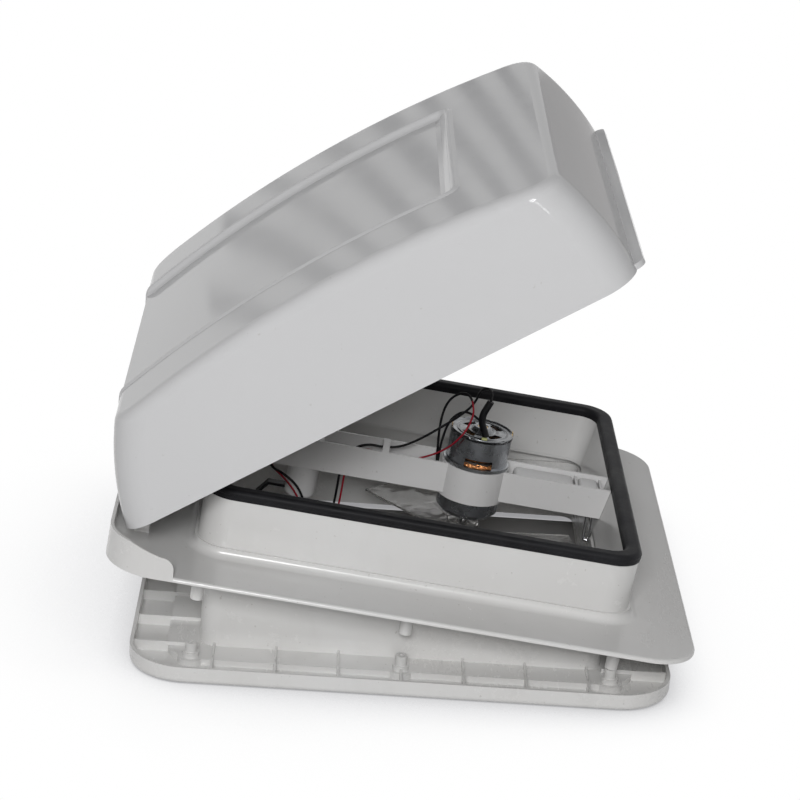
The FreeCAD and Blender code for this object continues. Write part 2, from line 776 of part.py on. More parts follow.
def motor_can():
    body = new_body("can")
    radius = size("motor_radius")
    low = size("motor_low")
    high = size("motor_high")
    wall = size("can_wall")
    bush = size("shaft_radius") + 3
    sketch = new_sketch(body, "XZ")
    outline(sketch, [
        (bush, low - 3), (bush + 3, low - 3), (bush + 4, low), (radius - 5, low),
        (radius, low + 5), (radius, high), (radius - wall, high),
        (radius - wall, low + 5.6), (radius - 5.6, low + wall), (bush, low + wall),
    ])
    turn(body, sketch)
    sketch = new_sketch(body, "XZ", -(radius + 2))
    rounded_rect(sketch, -12.5, 12.5, 4.8, 1.2, 62.2)
    window = pocket(body, sketch, radius)
    mirror(body, [window], "XZ")
    keep(body, "motor_can", MOTOR)


def motor_end_bell():
    body = new_body("bell")
    radius = size("motor_radius") + 0.6
    high = size("motor_high")
    bush = size("shaft_radius") + 3
    sketch = new_sketch(body, "XZ")
    outline(sketch, [
        (bush, high), (radius, high), (radius, high + 3.4), (radius - 1.6, high + 3.4),
        (radius - 2.4, high + 2.2), (bush + 4.5, high + 2.2), (bush + 3, high + 6),
        (bush, high + 6),
    ])
    turn(body, sketch)
    sketch = new_sketch(body, "XY", high + 4)
    inner = bush + 5.5
    outer = radius - 5
    slant = math.sqrt(0.5)
    outline(sketch, [
        (inner * -slant, inner * slant), (inner * slant, inner * slant, 0, inner),
        (outer * slant, outer * slant), (outer * -slant, outer * slant, 0, outer),
    ])
    slot = pocket(body, sketch, 6)
    ring_of(body, [slot], 3)
    keep(body, "motor_end_bell", MOTOR)


def motor_bushes():
    body = new_body("bushes")
    inner = size("shaft_radius") + size("running")
    outer = size("shaft_radius") + 3
    for low, height in ((size("motor_low") - 3, 4.6), (size("motor_high"), 6)):
        sketch = new_sketch(body, "XY", low)
        circle(sketch, 0, 0, outer)
        circle(sketch, 0, 0, inner)
        pad(body, sketch, height)
    keep(body, "motor_bushes", MOTOR)


def flux_ring():
    body = new_body("flux")
    sketch = new_sketch(body, "XY", size("bridge_top") + 0.3)
    circle(sketch, 0, 0, size("motor_radius") + 2)
    circle(sketch, 0, 0, size("motor_radius") + 0.1)
    pad(body, sketch, 3)
    keep(body, "motor_flux_ring", MOTOR)


def brush_terminals():
    """Two brass tabs that stand on the end bell."""
    body = new_body("tabs")
    sketch = new_sketch(body, "XY", size("motor_high") + 3.4)
    edge = size("motor_radius") - 0.4
    rectangle(sketch, edge - 0.4, edge + 0.4, -2.4, 2.4)
    rectangle(sketch, -(edge + 0.4), -(edge - 0.4), -2.4, 2.4)
    pad(body, sketch, 2.2)
    keep(body, "brush_terminals", MOTOR)


def armature():
    body = new_body("core")
    radius = size("motor_radius") - 6
    sketch = new_sketch(body, "XY", 34)
    circle(sketch, 0, 0, radius)
    circle(sketch, 0, 0, size("shaft_radius"))
    pad(body, sketch, 28)
    sketch = new_sketch(body, "XY", 63)
    rectangle(sketch, radius - 7, radius + 1, -1.2, 1.2)
    slot = pocket(body, sketch, 30)
    ring_of(body, [slot], 8)
    keep(body, "armature_core", MOTOR)

    body = new_body("coils")
    for low in (24.5, 62.0):
        sketch = new_sketch(body, "XZ")
        outline(sketch, [
            (radius - 13, low + 1), (radius - 12, low),
            (radius - 4, low), (radius - 1, low + 3),
            (radius - 1, low + 6.5), (radius - 4, low + 9.5), (radius - 12, low + 9.5),
            (radius - 13, low + 8.5),
        ])
        turn(body, sketch)
    keep(body, "armature_windings", MOTOR)


def fan_shaft():
    body = new_body("shaft")
    sketch = new_sketch(body, "XY", size("fan_level") - 13)
    circle(sketch, 0, 0, size("shaft_radius"))
    pad(body, sketch, size("motor_high") + 8 - size("fan_level") + 13)
    keep(body, "fan_shaft", MOTOR)


def blade_section(body, x, chord, rise, thick):
    """A slanted flat section of a blade, across Y and Z at distance x."""
    level = size("fan_level")
    sketch = new_sketch(body, "YZ", x)
    outline(sketch, [
        (-chord / 2, level + rise / 2), (0, level + 1.5),
        (chord / 2, level - rise / 2), (chord / 2, level - rise / 2 - thick),
        (0, level + 1.5 - thick), (-chord / 2, level + rise / 2 - thick),
    ])
    return sketch


def fan_blades():
    body = new_body("fan")
    level = size("fan_level")
    hub = size("hub_radius")
    sketch = new_sketch(body, "XZ")
    bore = size("shaft_radius")
    outline(sketch, [
        (bore, level - 9), (bore + 3, level - 9), (bore + 3, level + 5), (hub - 2, level + 5),
        (hub - 2, level - 9), (hub, level - 9), (hub, level + 7), (hub - 1.5, level + 8.5),
        (bore, level + 8.5),
    ])
    turn(body, sketch)
    root = blade_section(body, hub - 1, 26, 13, 1.8)
    tip = blade_section(body, size("fan_radius") * 0.925, size("fan_radius") * 0.74, 13, 1.8)
    blade = loft(body, "Additive", [root, tip])
    ring_of(body, [blade], FAN_BLADES)
    keep(body, "fan_blades", MOTOR)


def fan_nut():
    body = new_body("nut")
    level = size("fan_level") - 9
    sketch = new_sketch(body, "XY", level)
    points = []
    for i in range(6):
        angle = math.radians(60 * i)
        points.append((5 * math.cos(angle), 5 * math.sin(angle)))
    outline(sketch, points)
    circle(sketch, 0, 0, size("shaft_radius"))
    pad(body, sketch, 3.5, back=True)
    keep(body, "fan_nut", MOTOR)


# Crank

def crank_housing():
    body = new_body("housing")
    radius = size("housing_radius")
    low = -4
    top = size("bridge_top") - 2
    bore = size("spindle_radius") + size("running")
    sketch = new_sketch(body, "XZ")
    outline(sketch, [
        (bore, low), (radius - 4, low), (radius, low + 4, radius - 1.17, low + 1.17),
        (radius, top - 2), (radius - 2, top), (1, top), (1, 22),
        (bore, 22),
    ])
    turn(body, sketch)
    sketch = new_sketch(body, "XZ", 1)
    circle(sketch, 0, size("hinge_z"), bore)
    pocket(body, sketch, radius + 1)
    keep(body, "crank_housing", CRANK)


def crank_spindle():
    body = new_body("spindle")
    sketch = new_sketch(body, "XY", size("knob_low") + 8)
    circle(sketch, 0, 0, size("spindle_radius"))
    pad(body, sketch, 21 - size("knob_low") - 8)
    keep(body, "crank_spindle", CRANK)


def crank_knob():
    body = new_body("knob")
    low = size("knob_low")
    high = size("knob_high")
    radius = size("knob_radius")
    bore = size("spindle_radius")
    sketch = new_sketch(body, "XZ")
    outline(sketch, [
        (0, low), (radius - 5, low), (radius, low + 5, radius - 1.46, low + 1.46),
        (radius, high - 3), (radius - 2, high), (bore + 3, high), (bore + 3, high + 8),
        (bore, high + 8), (bore, low + 8), (0, low + 8),
    ])
    turn(body, sketch)
    sketch = new_sketch(body, "XY", low)
    circle(sketch, radius + 4, 0, 8)
    grip = pocket(body, sketch, high - low + 1, back=True)
    ring_of(body, [grip], KNOB_GRIPS)
    keep(body, "crank_knob", CRANK)


# Lift arm between the crank housing and the hood

def lift_arm():
    body = new_body("arm")
    y = size("arm_plane")
    sketch = new_sketch(body, "XZ", y)
    end = arm_length
    outline(sketch, [(0, -9), (end, -7), (end, 7), (0, 9)])
    pad(body, sketch, size("arm_thick"), back=True)
    for x, radius in ((0, 9), (end, 7)):
        sketch = new_sketch(body, "XZ", y)
        circle(sketch, x, 0, radius)
        pad(body, sketch, size("arm_thick"), back=True)
    sketch = new_sketch(body, "XZ", y - 1)
    circle(sketch, 0, 0, size("spindle_radius"))
    circle(sketch, end, 0, arm_pin_radius())
    pocket(body, sketch, size("arm_thick") + 2)
    sketch = new_sketch(body, "XZ", y - 1)
    rounded_rect(sketch, end * 0.2, end * 0.8, 3, 2.9)
    pocket(body, sketch, size("arm_thick") + 2)
    keep(body, "lift_arm", ARM)


def arm_pin_radius():
    return 2.0


def arm_shaft():
    body = new_body("arm_shaft")
    sketch = new_sketch(body, "XZ", 1)
    circle(sketch, 0, 0, size("spindle_radius"))
    pad(body, sketch, size("arm_plane") + size("arm_thick") + 1, back=True)
    keep(body, "arm_shaft", ARM)


def track_plane():
    return size("arm_plane") + size("arm_thick") + 4.5


def arm_pin():
    body = new_body("pin")
    sketch = new_sketch(body, "XZ", size("arm_plane") - 2)
    circle(sketch, arm_length, 0, arm_pin_radius() + 1.5)
    pad(body, sketch, 2, back=True)
    sketch = new_sketch(body, "XZ", size("arm_plane"))
    circle(sketch, arm_length, 0, arm_pin_radius())
    pad(body, sketch, track_plane() + 6 - size("arm_plane"), back=True)
    keep(body, "arm_pin", ARM)

    body = new_body("roller")
    sketch = new_sketch(body, "XZ", track_plane() - 1)
    circle(sketch, arm_length, 0, size("roller_radius"))
    circle(sketch, arm_length, 0, arm_pin_radius() + size("running"))
    pad(body, sketch, 4.5, back=True)
    keep(body, "arm_roller", ARM)


def lift_track():
    """A slotted plate under the hood's top, on a line that runs through the hinge axis."""
    body = new_body("track")
    slope = tangent(size("track_slope"))
    back = size("hood_back")
    drop = size("hood_drop")
    near_end = back + 132
    far_end = back + 284

    def on_line(x, above):
        return x, drop + slope * (x - back) + above

    sketch = new_sketch(body, "XZ", track_plane())
    roof = size("hood_crown") - size("panel_depth") - size("wall") - size("seat_gap")
    outline(sketch, [
        on_line(near_end, -9), on_line(far_end, -9),
        on_line(far_end, 9), (far_end - 20, roof - 2.5),
        (near_end + 30, roof - 8.5, (near_end + far_end) / 2 + 5, roof - 1.5),
        on_line(near_end, 9),
    ])
    pad(body, sketch, 2.5, back=True)
    sketch = new_sketch(body, "XZ", track_plane() - 1)
    groove = size("roller_radius") + 0.35
    ends = (near_end + 5, far_end - 5)
    outline(sketch, [
        on_line(ends[0], -groove), on_line(ends[1], -groove),
        on_line(ends[1], groove), on_line(ends[0], groove),
    ])
    circle(sketch, near_end + 60, drop + slope * (near_end + 60 - back) + 24, 7)
    circle(sketch, near_end + 90, drop + slope * (near_end + 90 - back) + 24, 7)
    pocket(body, sketch, 5)
    keep(body, "lift_track", HOOD)


# Leads and their fittings, in the roof part's frame

LEAD_FEED = [
    (50, -17.5, 121), (50.8, -16.8, 131.5), (40, -14, 131.5), (37, -11.5, 114), (26, -11.5, 100),
    (12, -11.5, 87), (-4, -11.5, 72.5), (-19, -11, 62), (-33, -11, 58.5), (-49, -10.5, 59),
    (-61, -10.5, 53), (-68, -11.5, 42), (-69.5, -11.5, 26), (-69, -12, 8), (-69.5, -12.5, -12),
    (-73, -16, -29), (-82, -22, -31), (-91, -24, -17), (-97, -24, 1), (-106, -23, 14),
    (-119, -20, 21), (-132.5, -12.6, 23), (-138, -12.2, 34),
]
LEAD_RETURN = [
    (34, -12.5, 117), (37.5, -16, 109.5), (36, -21.5, 101.5), (32.5, -27.5, 93), (26.5, -26.5, 82),
    (20, -18.5, 70.5), (9.5, -13.8, 60.5), (-4, -13.4, 54), (-17, -13.4, 49), (-33, -13.4, 50.5),
    (-47, -13.4, 56), (-57, -13.2, 52.5), (-63.5, -12, 42), (-65, -11, 26), (-64.5, -11, 8),
    (-65, -12, -12), (-69, -20, -32), (-80, -28, -36), (-93, -29, -20), (-100, -28, 0),
    (-109, -25.5, 11), (-120, -17.5, 18), (-131, -9.6, 22), (-134, -9.4, 34),
]
LEAD_ARCH = [
    (16, -4, 41), (14, -4, 58), (11.5, -4, 78), (11, -4, 98), (15, -5, 113), (24, -7.5, 121),
    (31, -10.5, 121.5), (34, -12.5, 117),
]
LEAD_BRUSH = [
    (16.5, -9, 41), (15, -8.5, 56), (15, -8, 74), (18, -7.5, 93), (27, -7.5, 103.5),
    (37, -10.5, 104.5), (45.5, -18.2, 100.5),
]
LEAD_SLEEVE = [(52, -18, 87.7), (44, -18, 104), (50, -17.5, 121)]
FEED_RADIUS = 1.1
RETURN_RADIUS = 0.9
SLEEVE_RADIUS = 3.2


def rounded_route(points, largest):
    """Straight runs through the points, joined by arcs; returns the wire and the smallest arc."""
    corners = [Vector(*point) for point in points]
    edges = []
    smallest = largest
    here = corners[0]
    for i in range(1, len(corners) - 1):
        before = corners[i - 1] - corners[i]
        after = corners[i + 1] - corners[i]
        half_turn = (math.pi - before.getAngle(after)) / 2
        setback = 0.45 * min(before.Length, after.Length)
        radius = setback / math.tan(half_turn)
        if radius > largest:
            radius = largest
            setback = radius * math.tan(half_turn)
        before.normalize()
        after.normalize()
        start = corners[i] + before * setback
        stop = corners[i] + after * setback
        toward = (before + after).normalize()
        middle = corners[i] + toward * (radius / math.cos(half_turn) - radius)
        edges.append(Part.makeLine(here, start))
        edges.append(Part.Arc(start, middle, stop).toShape())
        here = stop
        smallest = min(smallest, radius)
    edges.append(Part.makeLine(here, corners[-1]))
    return Part.Wire(edges), smallest


def lead(label, points, radius):
    """A round lead swept along its route."""
    wire, smallest = rounded_route(points, 60.0)
    start = Vector(*points[0])
    ring = Part.Wire(Part.makeCircle(radius, start, Vector(*points[1]) - start))
    solid = wire.makePipeShell([ring], True, True)
    if isinstance(solid, Part.Shell):
        solid = Part.Solid(solid)
    feature = document.addObject("Part::Feature", label)
    feature.Shape = solid
    expected = math.pi * radius * radius * wire.Length
    print(f"{label}: smallest bend {smallest:.1f}, length {wire.Length:.0f}, "
          f"volume over section times length {solid.Volume / expected:.3f}")
    keep(feature, label, BASE)


def leads():
    lead("lead_feed", LEAD_FEED, FEED_RADIUS)
    lead("lead_return", LEAD_RETURN, RETURN_RADIUS)
    lead("lead_arch", LEAD_ARCH, FEED_RADIUS)
    lead("lead_brush", LEAD_BRUSH, FEED_RADIUS)
    lead("lead_sleeve", LEAD_SLEEVE, SLEEVE_RADIUS)


def lead_connectors():
    """A block at each end of the leads, standing on the floor of the bridge."""
    body = new_body("blocks")
    floor = size("bridge_low") + size("bridge_wall")
    sketch = new_sketch(body, "XY", floor)
    rectangle(sketch, 10, 18.5, -12, -1.5)
    pad(body, sketch, 41 - floor)
    sketch = new_sketch(body, "XY", 34)
    rectangle(sketch, -146, -128, -14, -6)
    pad(body, sketch, 10)
    sketch = new_sketch(body, "XY", floor)
    rectangle(sketch, -149, -145, -14, -6)
    pad(body, sketch, 44 - floor)
    keep(body, "lead_connectors", BASE)


def lead_clip():
    """A hook on the near wall of the bridge that holds the feed lead."""
    body = new_body("hook")
    half = size("bridge_half")
    top = size("bridge_top")
    wall = size("bridge_wall")
    sketch = new_sketch(body, "YZ", -33)
    outline(sketch, [
        (-half, top), (wall - half, top), (wall - half, top + 8.5), (-9, top + 8.5),
        (-9, top + 10.5), (-half, top + 10.5),
    ])
    pad(body, sketch, 6, both_ways=True)
    keep(body, "lead_clip", BASE)


def stay_strap():
    """A bent black strip on the rear side of the crank housing."""
    body = new_body("strip")
    sketch = new_sketch(body, "XZ", -6)
    left = -(size("crank_x") + size("housing_radius"))
    outline(sketch, [
        (left, 4), (left, 6.4), (-131, 6.4), (-140.5, -6), (-138.6, -7.2), (-129.8, 4),
    ])
    pad(body, sketch, 9, both_ways=True)
    keep(body, "stay_strap", BASE)


def spring_clip():
    """A bent wire that hangs under the front end of the bridge."""
    floor = number("bridge_low")
    points = [(157.5, -9, floor - 0.3), (157.8, -10, 14), (158.6, -12.5, 4), (163.2, -13, 4),
              (163.4, -12.5, 14), (162.9, -12, floor - 0.3)]
    lead("spring_clip", points, 1.4)


# Hood

def panel_cut(drop, end):
    """What the recessed panel takes off the top, drop below the arch and up to end."""
    tail = size("hood_tail") - drop
    crown = size("hood_crown") - drop
    high = size("hood_crown") + 40
    return [
        (-20, tail - 13.8), (end, crown - 2.1, 170, crown - 4.75),
        (end + 14, size("hood_crown") + 1), (end + 14, high), (-20, high),
    ]


def hood_form(name, inset):
    """The hood's outer form, or with an inset the hollow inside it."""
    body = new_body(name)
    inset = as_size(inset)
    long = size("hood_long")
    tail = size("hood_tail")
    nose = size("hood_nose")
    crown = size("hood_crown")
    half = size("hood_half") - inset
    below = 0
    if inset.value:
        below = -1
    sketch = new_sketch(body, "XZ")
    outline(sketch, [
        (inset, below, inset + 13.5, tail / 2), (long - inset, below),
        (long - 22 - inset, nose - inset, long - 6 - inset, nose / 2),
        (inset + 37, tail - inset, 250, crown - inset),
    ])
    pad(body, sketch, half * 2, both_ways=True)

    # The side walls lean inwards.
    lean = tangent(size("hood_lean"))
    height = 130
    sketch = new_sketch(body, "YZ", 235)
    for side in (-1, 1):
        outline(sketch, [
            (side * half, below), (side * (half + 5), below),
            (side * (half + 5), height), (side * (half - lean * (height - below)), height),
        ])
    pocket(body, sketch, 600, both_ways=True)

    # Upright corners, then the edge round the top.
    def corner(edge):
        x0, x1, y0, y1, z0, z1 = edge_box(edge)
        return z1 - z0 > 50 and y1 - y0 > 5 and x1 - x0 < 60

    blend(body, size("hood_corner") - inset, corner)

    def top_edge(edge):
        x0, x1, y0, y1, z0, z1 = edge_box(edge)
        return z0 > 60

    blend(body, size("hood_edge") - inset, top_edge)

    # Recessed panel, open at the rear and closed by a ramp at the front.
    drop = inset + size("panel_depth")
    sketch = new_sketch(body, "XZ")
    outline(sketch, panel_cut(drop, size("panel_end") - inset))
    pocket(body, sketch, (size("panel_half") + inset) * 2, both_ways=True)
    return body


def hood_shell():
    outer = hood_form("hood_outer", 0)
    # Grip lip along the front edge.
    long = size("hood_long")
    reach = size("lip_reach")
    high = size("lip_height")
    sketch = new_sketch(outer, "XY")
    rounded_rect(sketch, long - 60, long + reach, size("lip_half"), size("lip_corner"))
    pad(outer, sketch, high)
    inner = hood_form("hood_inner", size("wall"))
    document.recompute()
    shell = document.addObject("Part::Cut", "hood_cut")
    shell.Base = outer
    shell.Tool = inner
    document.recompute()
    keep(shell, "hood_shell", HOOD)


def hood_seal_frame():
    """A skirt under the hood's top that closes on the gasket."""
    body = new_body("seal")
    middle = size("hinge_x") + size("hood_back")
    rest = size("collar_top") + size("gasket_height") - size("hinge_z") + size("hood_drop")
    low = rest + size("seat_gap")
    thick = size("wall")
    long_half = size("collar_long") / 2 - size("land") / 2 + thick / 2
    wide_half = size("collar_wide") / 2 - size("land") / 2 + thick / 2
    corner = size("collar_corner") - 5
    sketch = new_sketch(body, "XY", low)
    rounded_rect(sketch, middle - long_half, middle + long_half, wide_half, corner)
    rounded_rect(sketch, middle - long_half + thick, middle + long_half - thick,
                 wide_half - thick, corner - thick)
    pad(body, sketch, 90)
    crown = size("hood_crown")
    tail = size("hood_tail")
    nose = size("hood_nose")
    gap = size("wall") + size("seat_gap")
    long = size("hood_long")
    high = 150
    sketch = new_sketch(body, "XZ")
    outline(sketch, [
        (37, tail - gap - 1), (long - 22, nose - gap - 4, 250, crown - gap - 0.5),
        (long - 22, high), (37, high),
    ])
    pocket(body, sketch, wide_half * 2 + 10, both_ways=True)
    drop = gap + size("panel_depth")
    sketch = new_sketch(body, "XZ")
    outline(sketch, panel_cut(drop, size("panel_end") - gap))
    pocket(body, sketch, (size("panel_half") + gap) * 2, both_ways=True)
    keep(body, "hood_seal_frame", HOOD)


def hood_knuckles():
    """Two leaves inside the hood's rear wall, each round its hinge pin."""
    body = new_body("knuckles")
    x = size("hood_back")
    z = size("hood_drop")
    eye = size("hinge_eye")
    width = size("leaf_gap") - size("seat_gap") * 2
    sketch = new_sketch(body, "XZ", size("hinge_y"))
    outline(sketch, [
        (x + eye * 0.9, z), (x + eye + 6, z + 14), (x + 24, z + 50),
        (x + 11.5, z + 46), (x - 1.2, z + 18, x + 4.6, z + 32), (x - eye * 0.9, z),
    ])
    leaf = pad(body, sketch, width, both_ways=True)
    sketch = new_sketch(body, "XZ", size("hinge_y"))
    circle(sketch, x, z, eye)
    eye_pad = pad(body, sketch, width, both_ways=True)
    sketch = new_sketch(body, "XZ", size("hinge_y"))
    circle(sketch, x, z, size("hinge_pin") + size("running"))
    hole = pocket(body, sketch, width + 2, both_ways=True)
    mirror(body, [leaf, eye_pad, hole], "XZ")
    keep(body, "hood_knuckles", HOOD)


def hinge_pins():
    body = new_body("pins")
    length = size("leaf_gap") + size("ear_thick") * 2 + 3
    sketch = new_sketch(body, "XZ", size("hinge_y"))
    circle(sketch, -size("hinge_x"), size("hinge_z"), size("hinge_pin"))
    one = pad(body, sketch, length, both_ways=True)
    mirror(body, [one], "XZ")
    keep(body, "hinge_pins", BASE)


interior_trim()
roof_base()
collar_gasket()
motor_bridge()
bridge_screws()
motor_can()
motor_end_bell()
motor_bushes()
flux_ring()
brush_terminals()
armature()
fan_shaft()
fan_blades()
fan_nut()
crank_housing()
crank_spindle()
crank_knob()
lift_arm()
arm_shaft()
arm_pin()
lift_track()
leads()
lead_connectors()
lead_clip()
stay_strap()
spring_clip()
hood_shell()
hood_seal_frame()
hood_knuckles()
hinge_pins()

document.recompute()


def check_and_export():
    for item in document.Objects:
        if "Invalid" in item.State or "Error" in item.State:
            raise RuntimeError(f"{item.Name} of {item.Label}: {item.State}")
        if item.TypeId in ("PartDesign::Pocket", "PartDesign::Groove") and item.BaseFeature:
            if item.Shape.Volume > item.BaseFeature.Shape.Volume - 0.01:
                raise RuntimeError(f"{item.Name} of {item.Label} cuts nothing")
    os.makedirs("parts", exist_ok=True)
    for piece in parts:
        shape = piece.Shape
        if shape.isNull() or not shape.isValid():
            raise RuntimeError(f"{piece.Label} has no valid shape")
        shape.exportStep(os.path.join("parts", piece.Label + ".step"))
        box = shape.BoundBox
        print(f"{piece.Label}: {len(shape.Solids)} solids, {shape.Volume / 1000:.1f} cm3, "
              f"z {box.ZMin:.1f} to {box.ZMax:.1f}, x {box.XMin:.1f} to {box.XMax:.1f}")


check_and_export()
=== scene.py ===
import math

import bmesh
import bpy
from mathutils import Matrix, Vector
from mathutils.bvhtree import BVHTree


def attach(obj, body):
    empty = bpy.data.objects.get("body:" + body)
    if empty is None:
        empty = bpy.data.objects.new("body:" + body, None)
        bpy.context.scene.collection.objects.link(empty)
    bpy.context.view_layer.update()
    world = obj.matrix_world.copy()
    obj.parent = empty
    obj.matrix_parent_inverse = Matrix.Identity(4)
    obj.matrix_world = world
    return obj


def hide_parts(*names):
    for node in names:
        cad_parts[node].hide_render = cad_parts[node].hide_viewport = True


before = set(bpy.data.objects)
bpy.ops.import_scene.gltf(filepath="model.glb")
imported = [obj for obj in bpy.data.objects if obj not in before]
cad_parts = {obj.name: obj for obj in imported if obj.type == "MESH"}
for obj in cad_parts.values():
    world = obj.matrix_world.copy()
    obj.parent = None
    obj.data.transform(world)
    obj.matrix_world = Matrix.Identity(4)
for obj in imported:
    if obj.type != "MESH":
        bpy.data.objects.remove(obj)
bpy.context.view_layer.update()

# Frames: the roof part leans about Y on the trim, the hood turns about its hinge on the roof part.
TILT = math.radians(6.47)
BASE_ORIGIN = Vector((0.0048271, 0.0, 0.0748536))
BASE = Matrix.Translation(BASE_ORIGIN) @ Matrix.Rotation(TILT, 4, "Y")
HINGE = Vector((-0.2419, 0.0, 0.0459))
HOOD_OPEN = math.radians(38.6)
HINGE_TO_HOOD = Vector((-0.014, 0.0, -0.012))
HOOD = (BASE @ Matrix.Translation(HINGE) @ Matrix.Rotation(-HOOD_OPEN, 4, "Y")
        @ Matrix.Translation(HINGE_TO_HOOD))


def in_base(x, y, z):
    """Millimetres in the roof part's frame to metres in the row frame."""
    return BASE @ Vector((x / 1000, y / 1000, z / 1000))


def in_hood(x, y, z):
    """Millimetres in the hood's frame to metres in the row frame."""
    return HOOD @ Vector((x / 1000, y / 1000, z / 1000))


# Camera at the photograph's place

CAMERA_PLACE = Vector((-0.0868, -2.2168, 1.0058))
YAW = math.radians(1.94)
PITCH = math.radians(20.45)
ROLL = math.radians(4.50)
FOCAL_PIXELS = 2655.0
IMAGE_PIXELS = 800.0


def make_camera():
    """Level forward and right directions first, then the small roll."""
    forward = Vector((math.sin(YAW) * math.cos(PITCH), math.cos(YAW) * math.cos(PITCH),
                      -math.sin(PITCH)))
    right = Vector((math.cos(YAW), -math.sin(YAW), 0.0))
    up = right.cross(forward)
    x_axis = right * math.cos(ROLL) + up * math.sin(ROLL)
    y_axis = up * math.cos(ROLL) - right * math.sin(ROLL)
    data = bpy.data.cameras.new("camera")
    data.sensor_width = 36.0
    data.lens = FOCAL_PIXELS / IMAGE_PIXELS * data.sensor_width
    data.clip_start = 0.1
    data.clip_end = 50.0
    camera = bpy.data.objects.new("camera", data)
    turn = Matrix((x_axis, y_axis, -forward)).transposed().to_4x4()
    camera.matrix_world = Matrix.Translation(CAMERA_PLACE) @ turn
    bpy.context.scene.collection.objects.link(camera)
    bpy.context.scene.camera = camera


make_camera()


# Materials

class Nodes:
    """A small wrapper that adds and links the shader nodes of a material or a world."""

    def __init__(self, owner, output="ShaderNodeOutputMaterial"):
        owner.use_nodes = True
        self.owner = owner
        self.tree = owner.node_tree
        self.tree.nodes.clear()
        self.output = self.add(output)

    def add(self, kind, **values):
        node = self.tree.nodes.new(kind)
        for key, value in values.items():
            if hasattr(node, key):
                setattr(node, key, value)
            else:
                node.inputs[key].default_value = value
        return node

    def link(self, source, target):
        self.tree.links.new(source, target)

    def position(self, scale=(1.0, 1.0, 1.0)):
        coordinates = self.add("ShaderNodeTexCoord")
        mapping = self.add("ShaderNodeMapping")
        mapping.inputs["Scale"].default_value = scale
        self.link(coordinates.outputs["Object"], mapping.inputs["Vector"])
        return mapping.outputs["Vector"]

    def noise(self, scale, detail=3.0, roughness=0.5, stretch=(1.0, 1.0, 1.0)):
        node = self.add("ShaderNodeTexNoise")
        node.inputs["Scale"].default_value = scale
        node.inputs["Detail"].default_value = detail
        node.inputs["Roughness"].default_value = roughness
        self.link(self.position(stretch), node.inputs["Vector"])
        return node.outputs["Fac"]

    def ramp(self, source, stops):
        node = self.add("ShaderNodeValToRGB")
        elements = node.color_ramp.elements
        while len(elements) < len(stops):
            elements.new(0.5)
        for element, (place, colour) in zip(elements, stops):
            element.position = place
            element.color = rgba(*colour)
        self.link(source, node.inputs["Fac"])
        return node.outputs["Color"]

    def mix(self, factor, a, b):
        node = self.add("ShaderNodeMix", data_type="RGBA")
        for socket, value in ((node.inputs[0], factor), (node.inputs[6], a), (node.inputs[7], b)):
            if isinstance(value, bpy.types.NodeSocket):
                self.link(value, socket)
            else:
                socket.default_value = value
        return node.outputs[2]

    def span(self, source, low, high, start=0.0, stop=1.0):
        node = self.add("ShaderNodeMapRange")
        node.inputs["From Min"].default_value = start
        node.inputs["From Max"].default_value = stop
        node.inputs["To Min"].default_value = low
        node.inputs["To Max"].default_value = high
        self.link(source, node.inputs["Value"])
        return node.outputs["Result"]

    def bump(self, height, strength, distance, normal=None):
        node = self.add("ShaderNodeBump")
        node.inputs["Strength"].default_value = strength
        node.inputs["Distance"].default_value = distance
        self.link(height, node.inputs["Height"])
        if normal is not None:
            self.link(normal, node.inputs["Normal"])
        return node.outputs["Normal"]

    def surface(self, colour, roughness, normal=None, **values):
        shader = self.add("ShaderNodeBsdfPrincipled")
        for socket, value in ((shader.inputs["Base Color"], colour),
                              (shader.inputs["Roughness"], roughness)):
            if isinstance(value, bpy.types.NodeSocket):
                self.link(value, socket)
            else:
                socket.default_value = value
        for key, value in values.items():
            shader.inputs[key.replace("_", " ")].default_value = value
        if normal is not None:
            self.link(normal, shader.inputs["Normal"])
        self.link(shader.outputs[0], self.output.inputs["Surface"])

    def seen_or_lit(self, seen, lit):
        """One shader for camera, glossy and transmission rays, another for all other light."""
        path = self.add("ShaderNodeLightPath")
        share = path.outputs["Is Camera Ray"]
        for kind in ("Is Glossy Ray", "Is Transmission Ray"):
            either = self.add("ShaderNodeMath", operation="MAXIMUM")
            self.link(share, either.inputs[0])
            self.link(path.outputs[kind], either.inputs[1])
            share = either.outputs[0]
        mixer = self.add("ShaderNodeMixShader")
        self.link(share, mixer.inputs[0])
        self.link(lit.outputs[0], mixer.inputs[1])
        self.link(seen.outputs[0], mixer.inputs[2])
        self.link(mixer.outputs[0], self.output.inputs["Surface"])


def new_nodes(name):
    return Nodes(bpy.data.materials.new(name))


def rgba(r, g, b):
    return (r, g, b, 1.0)


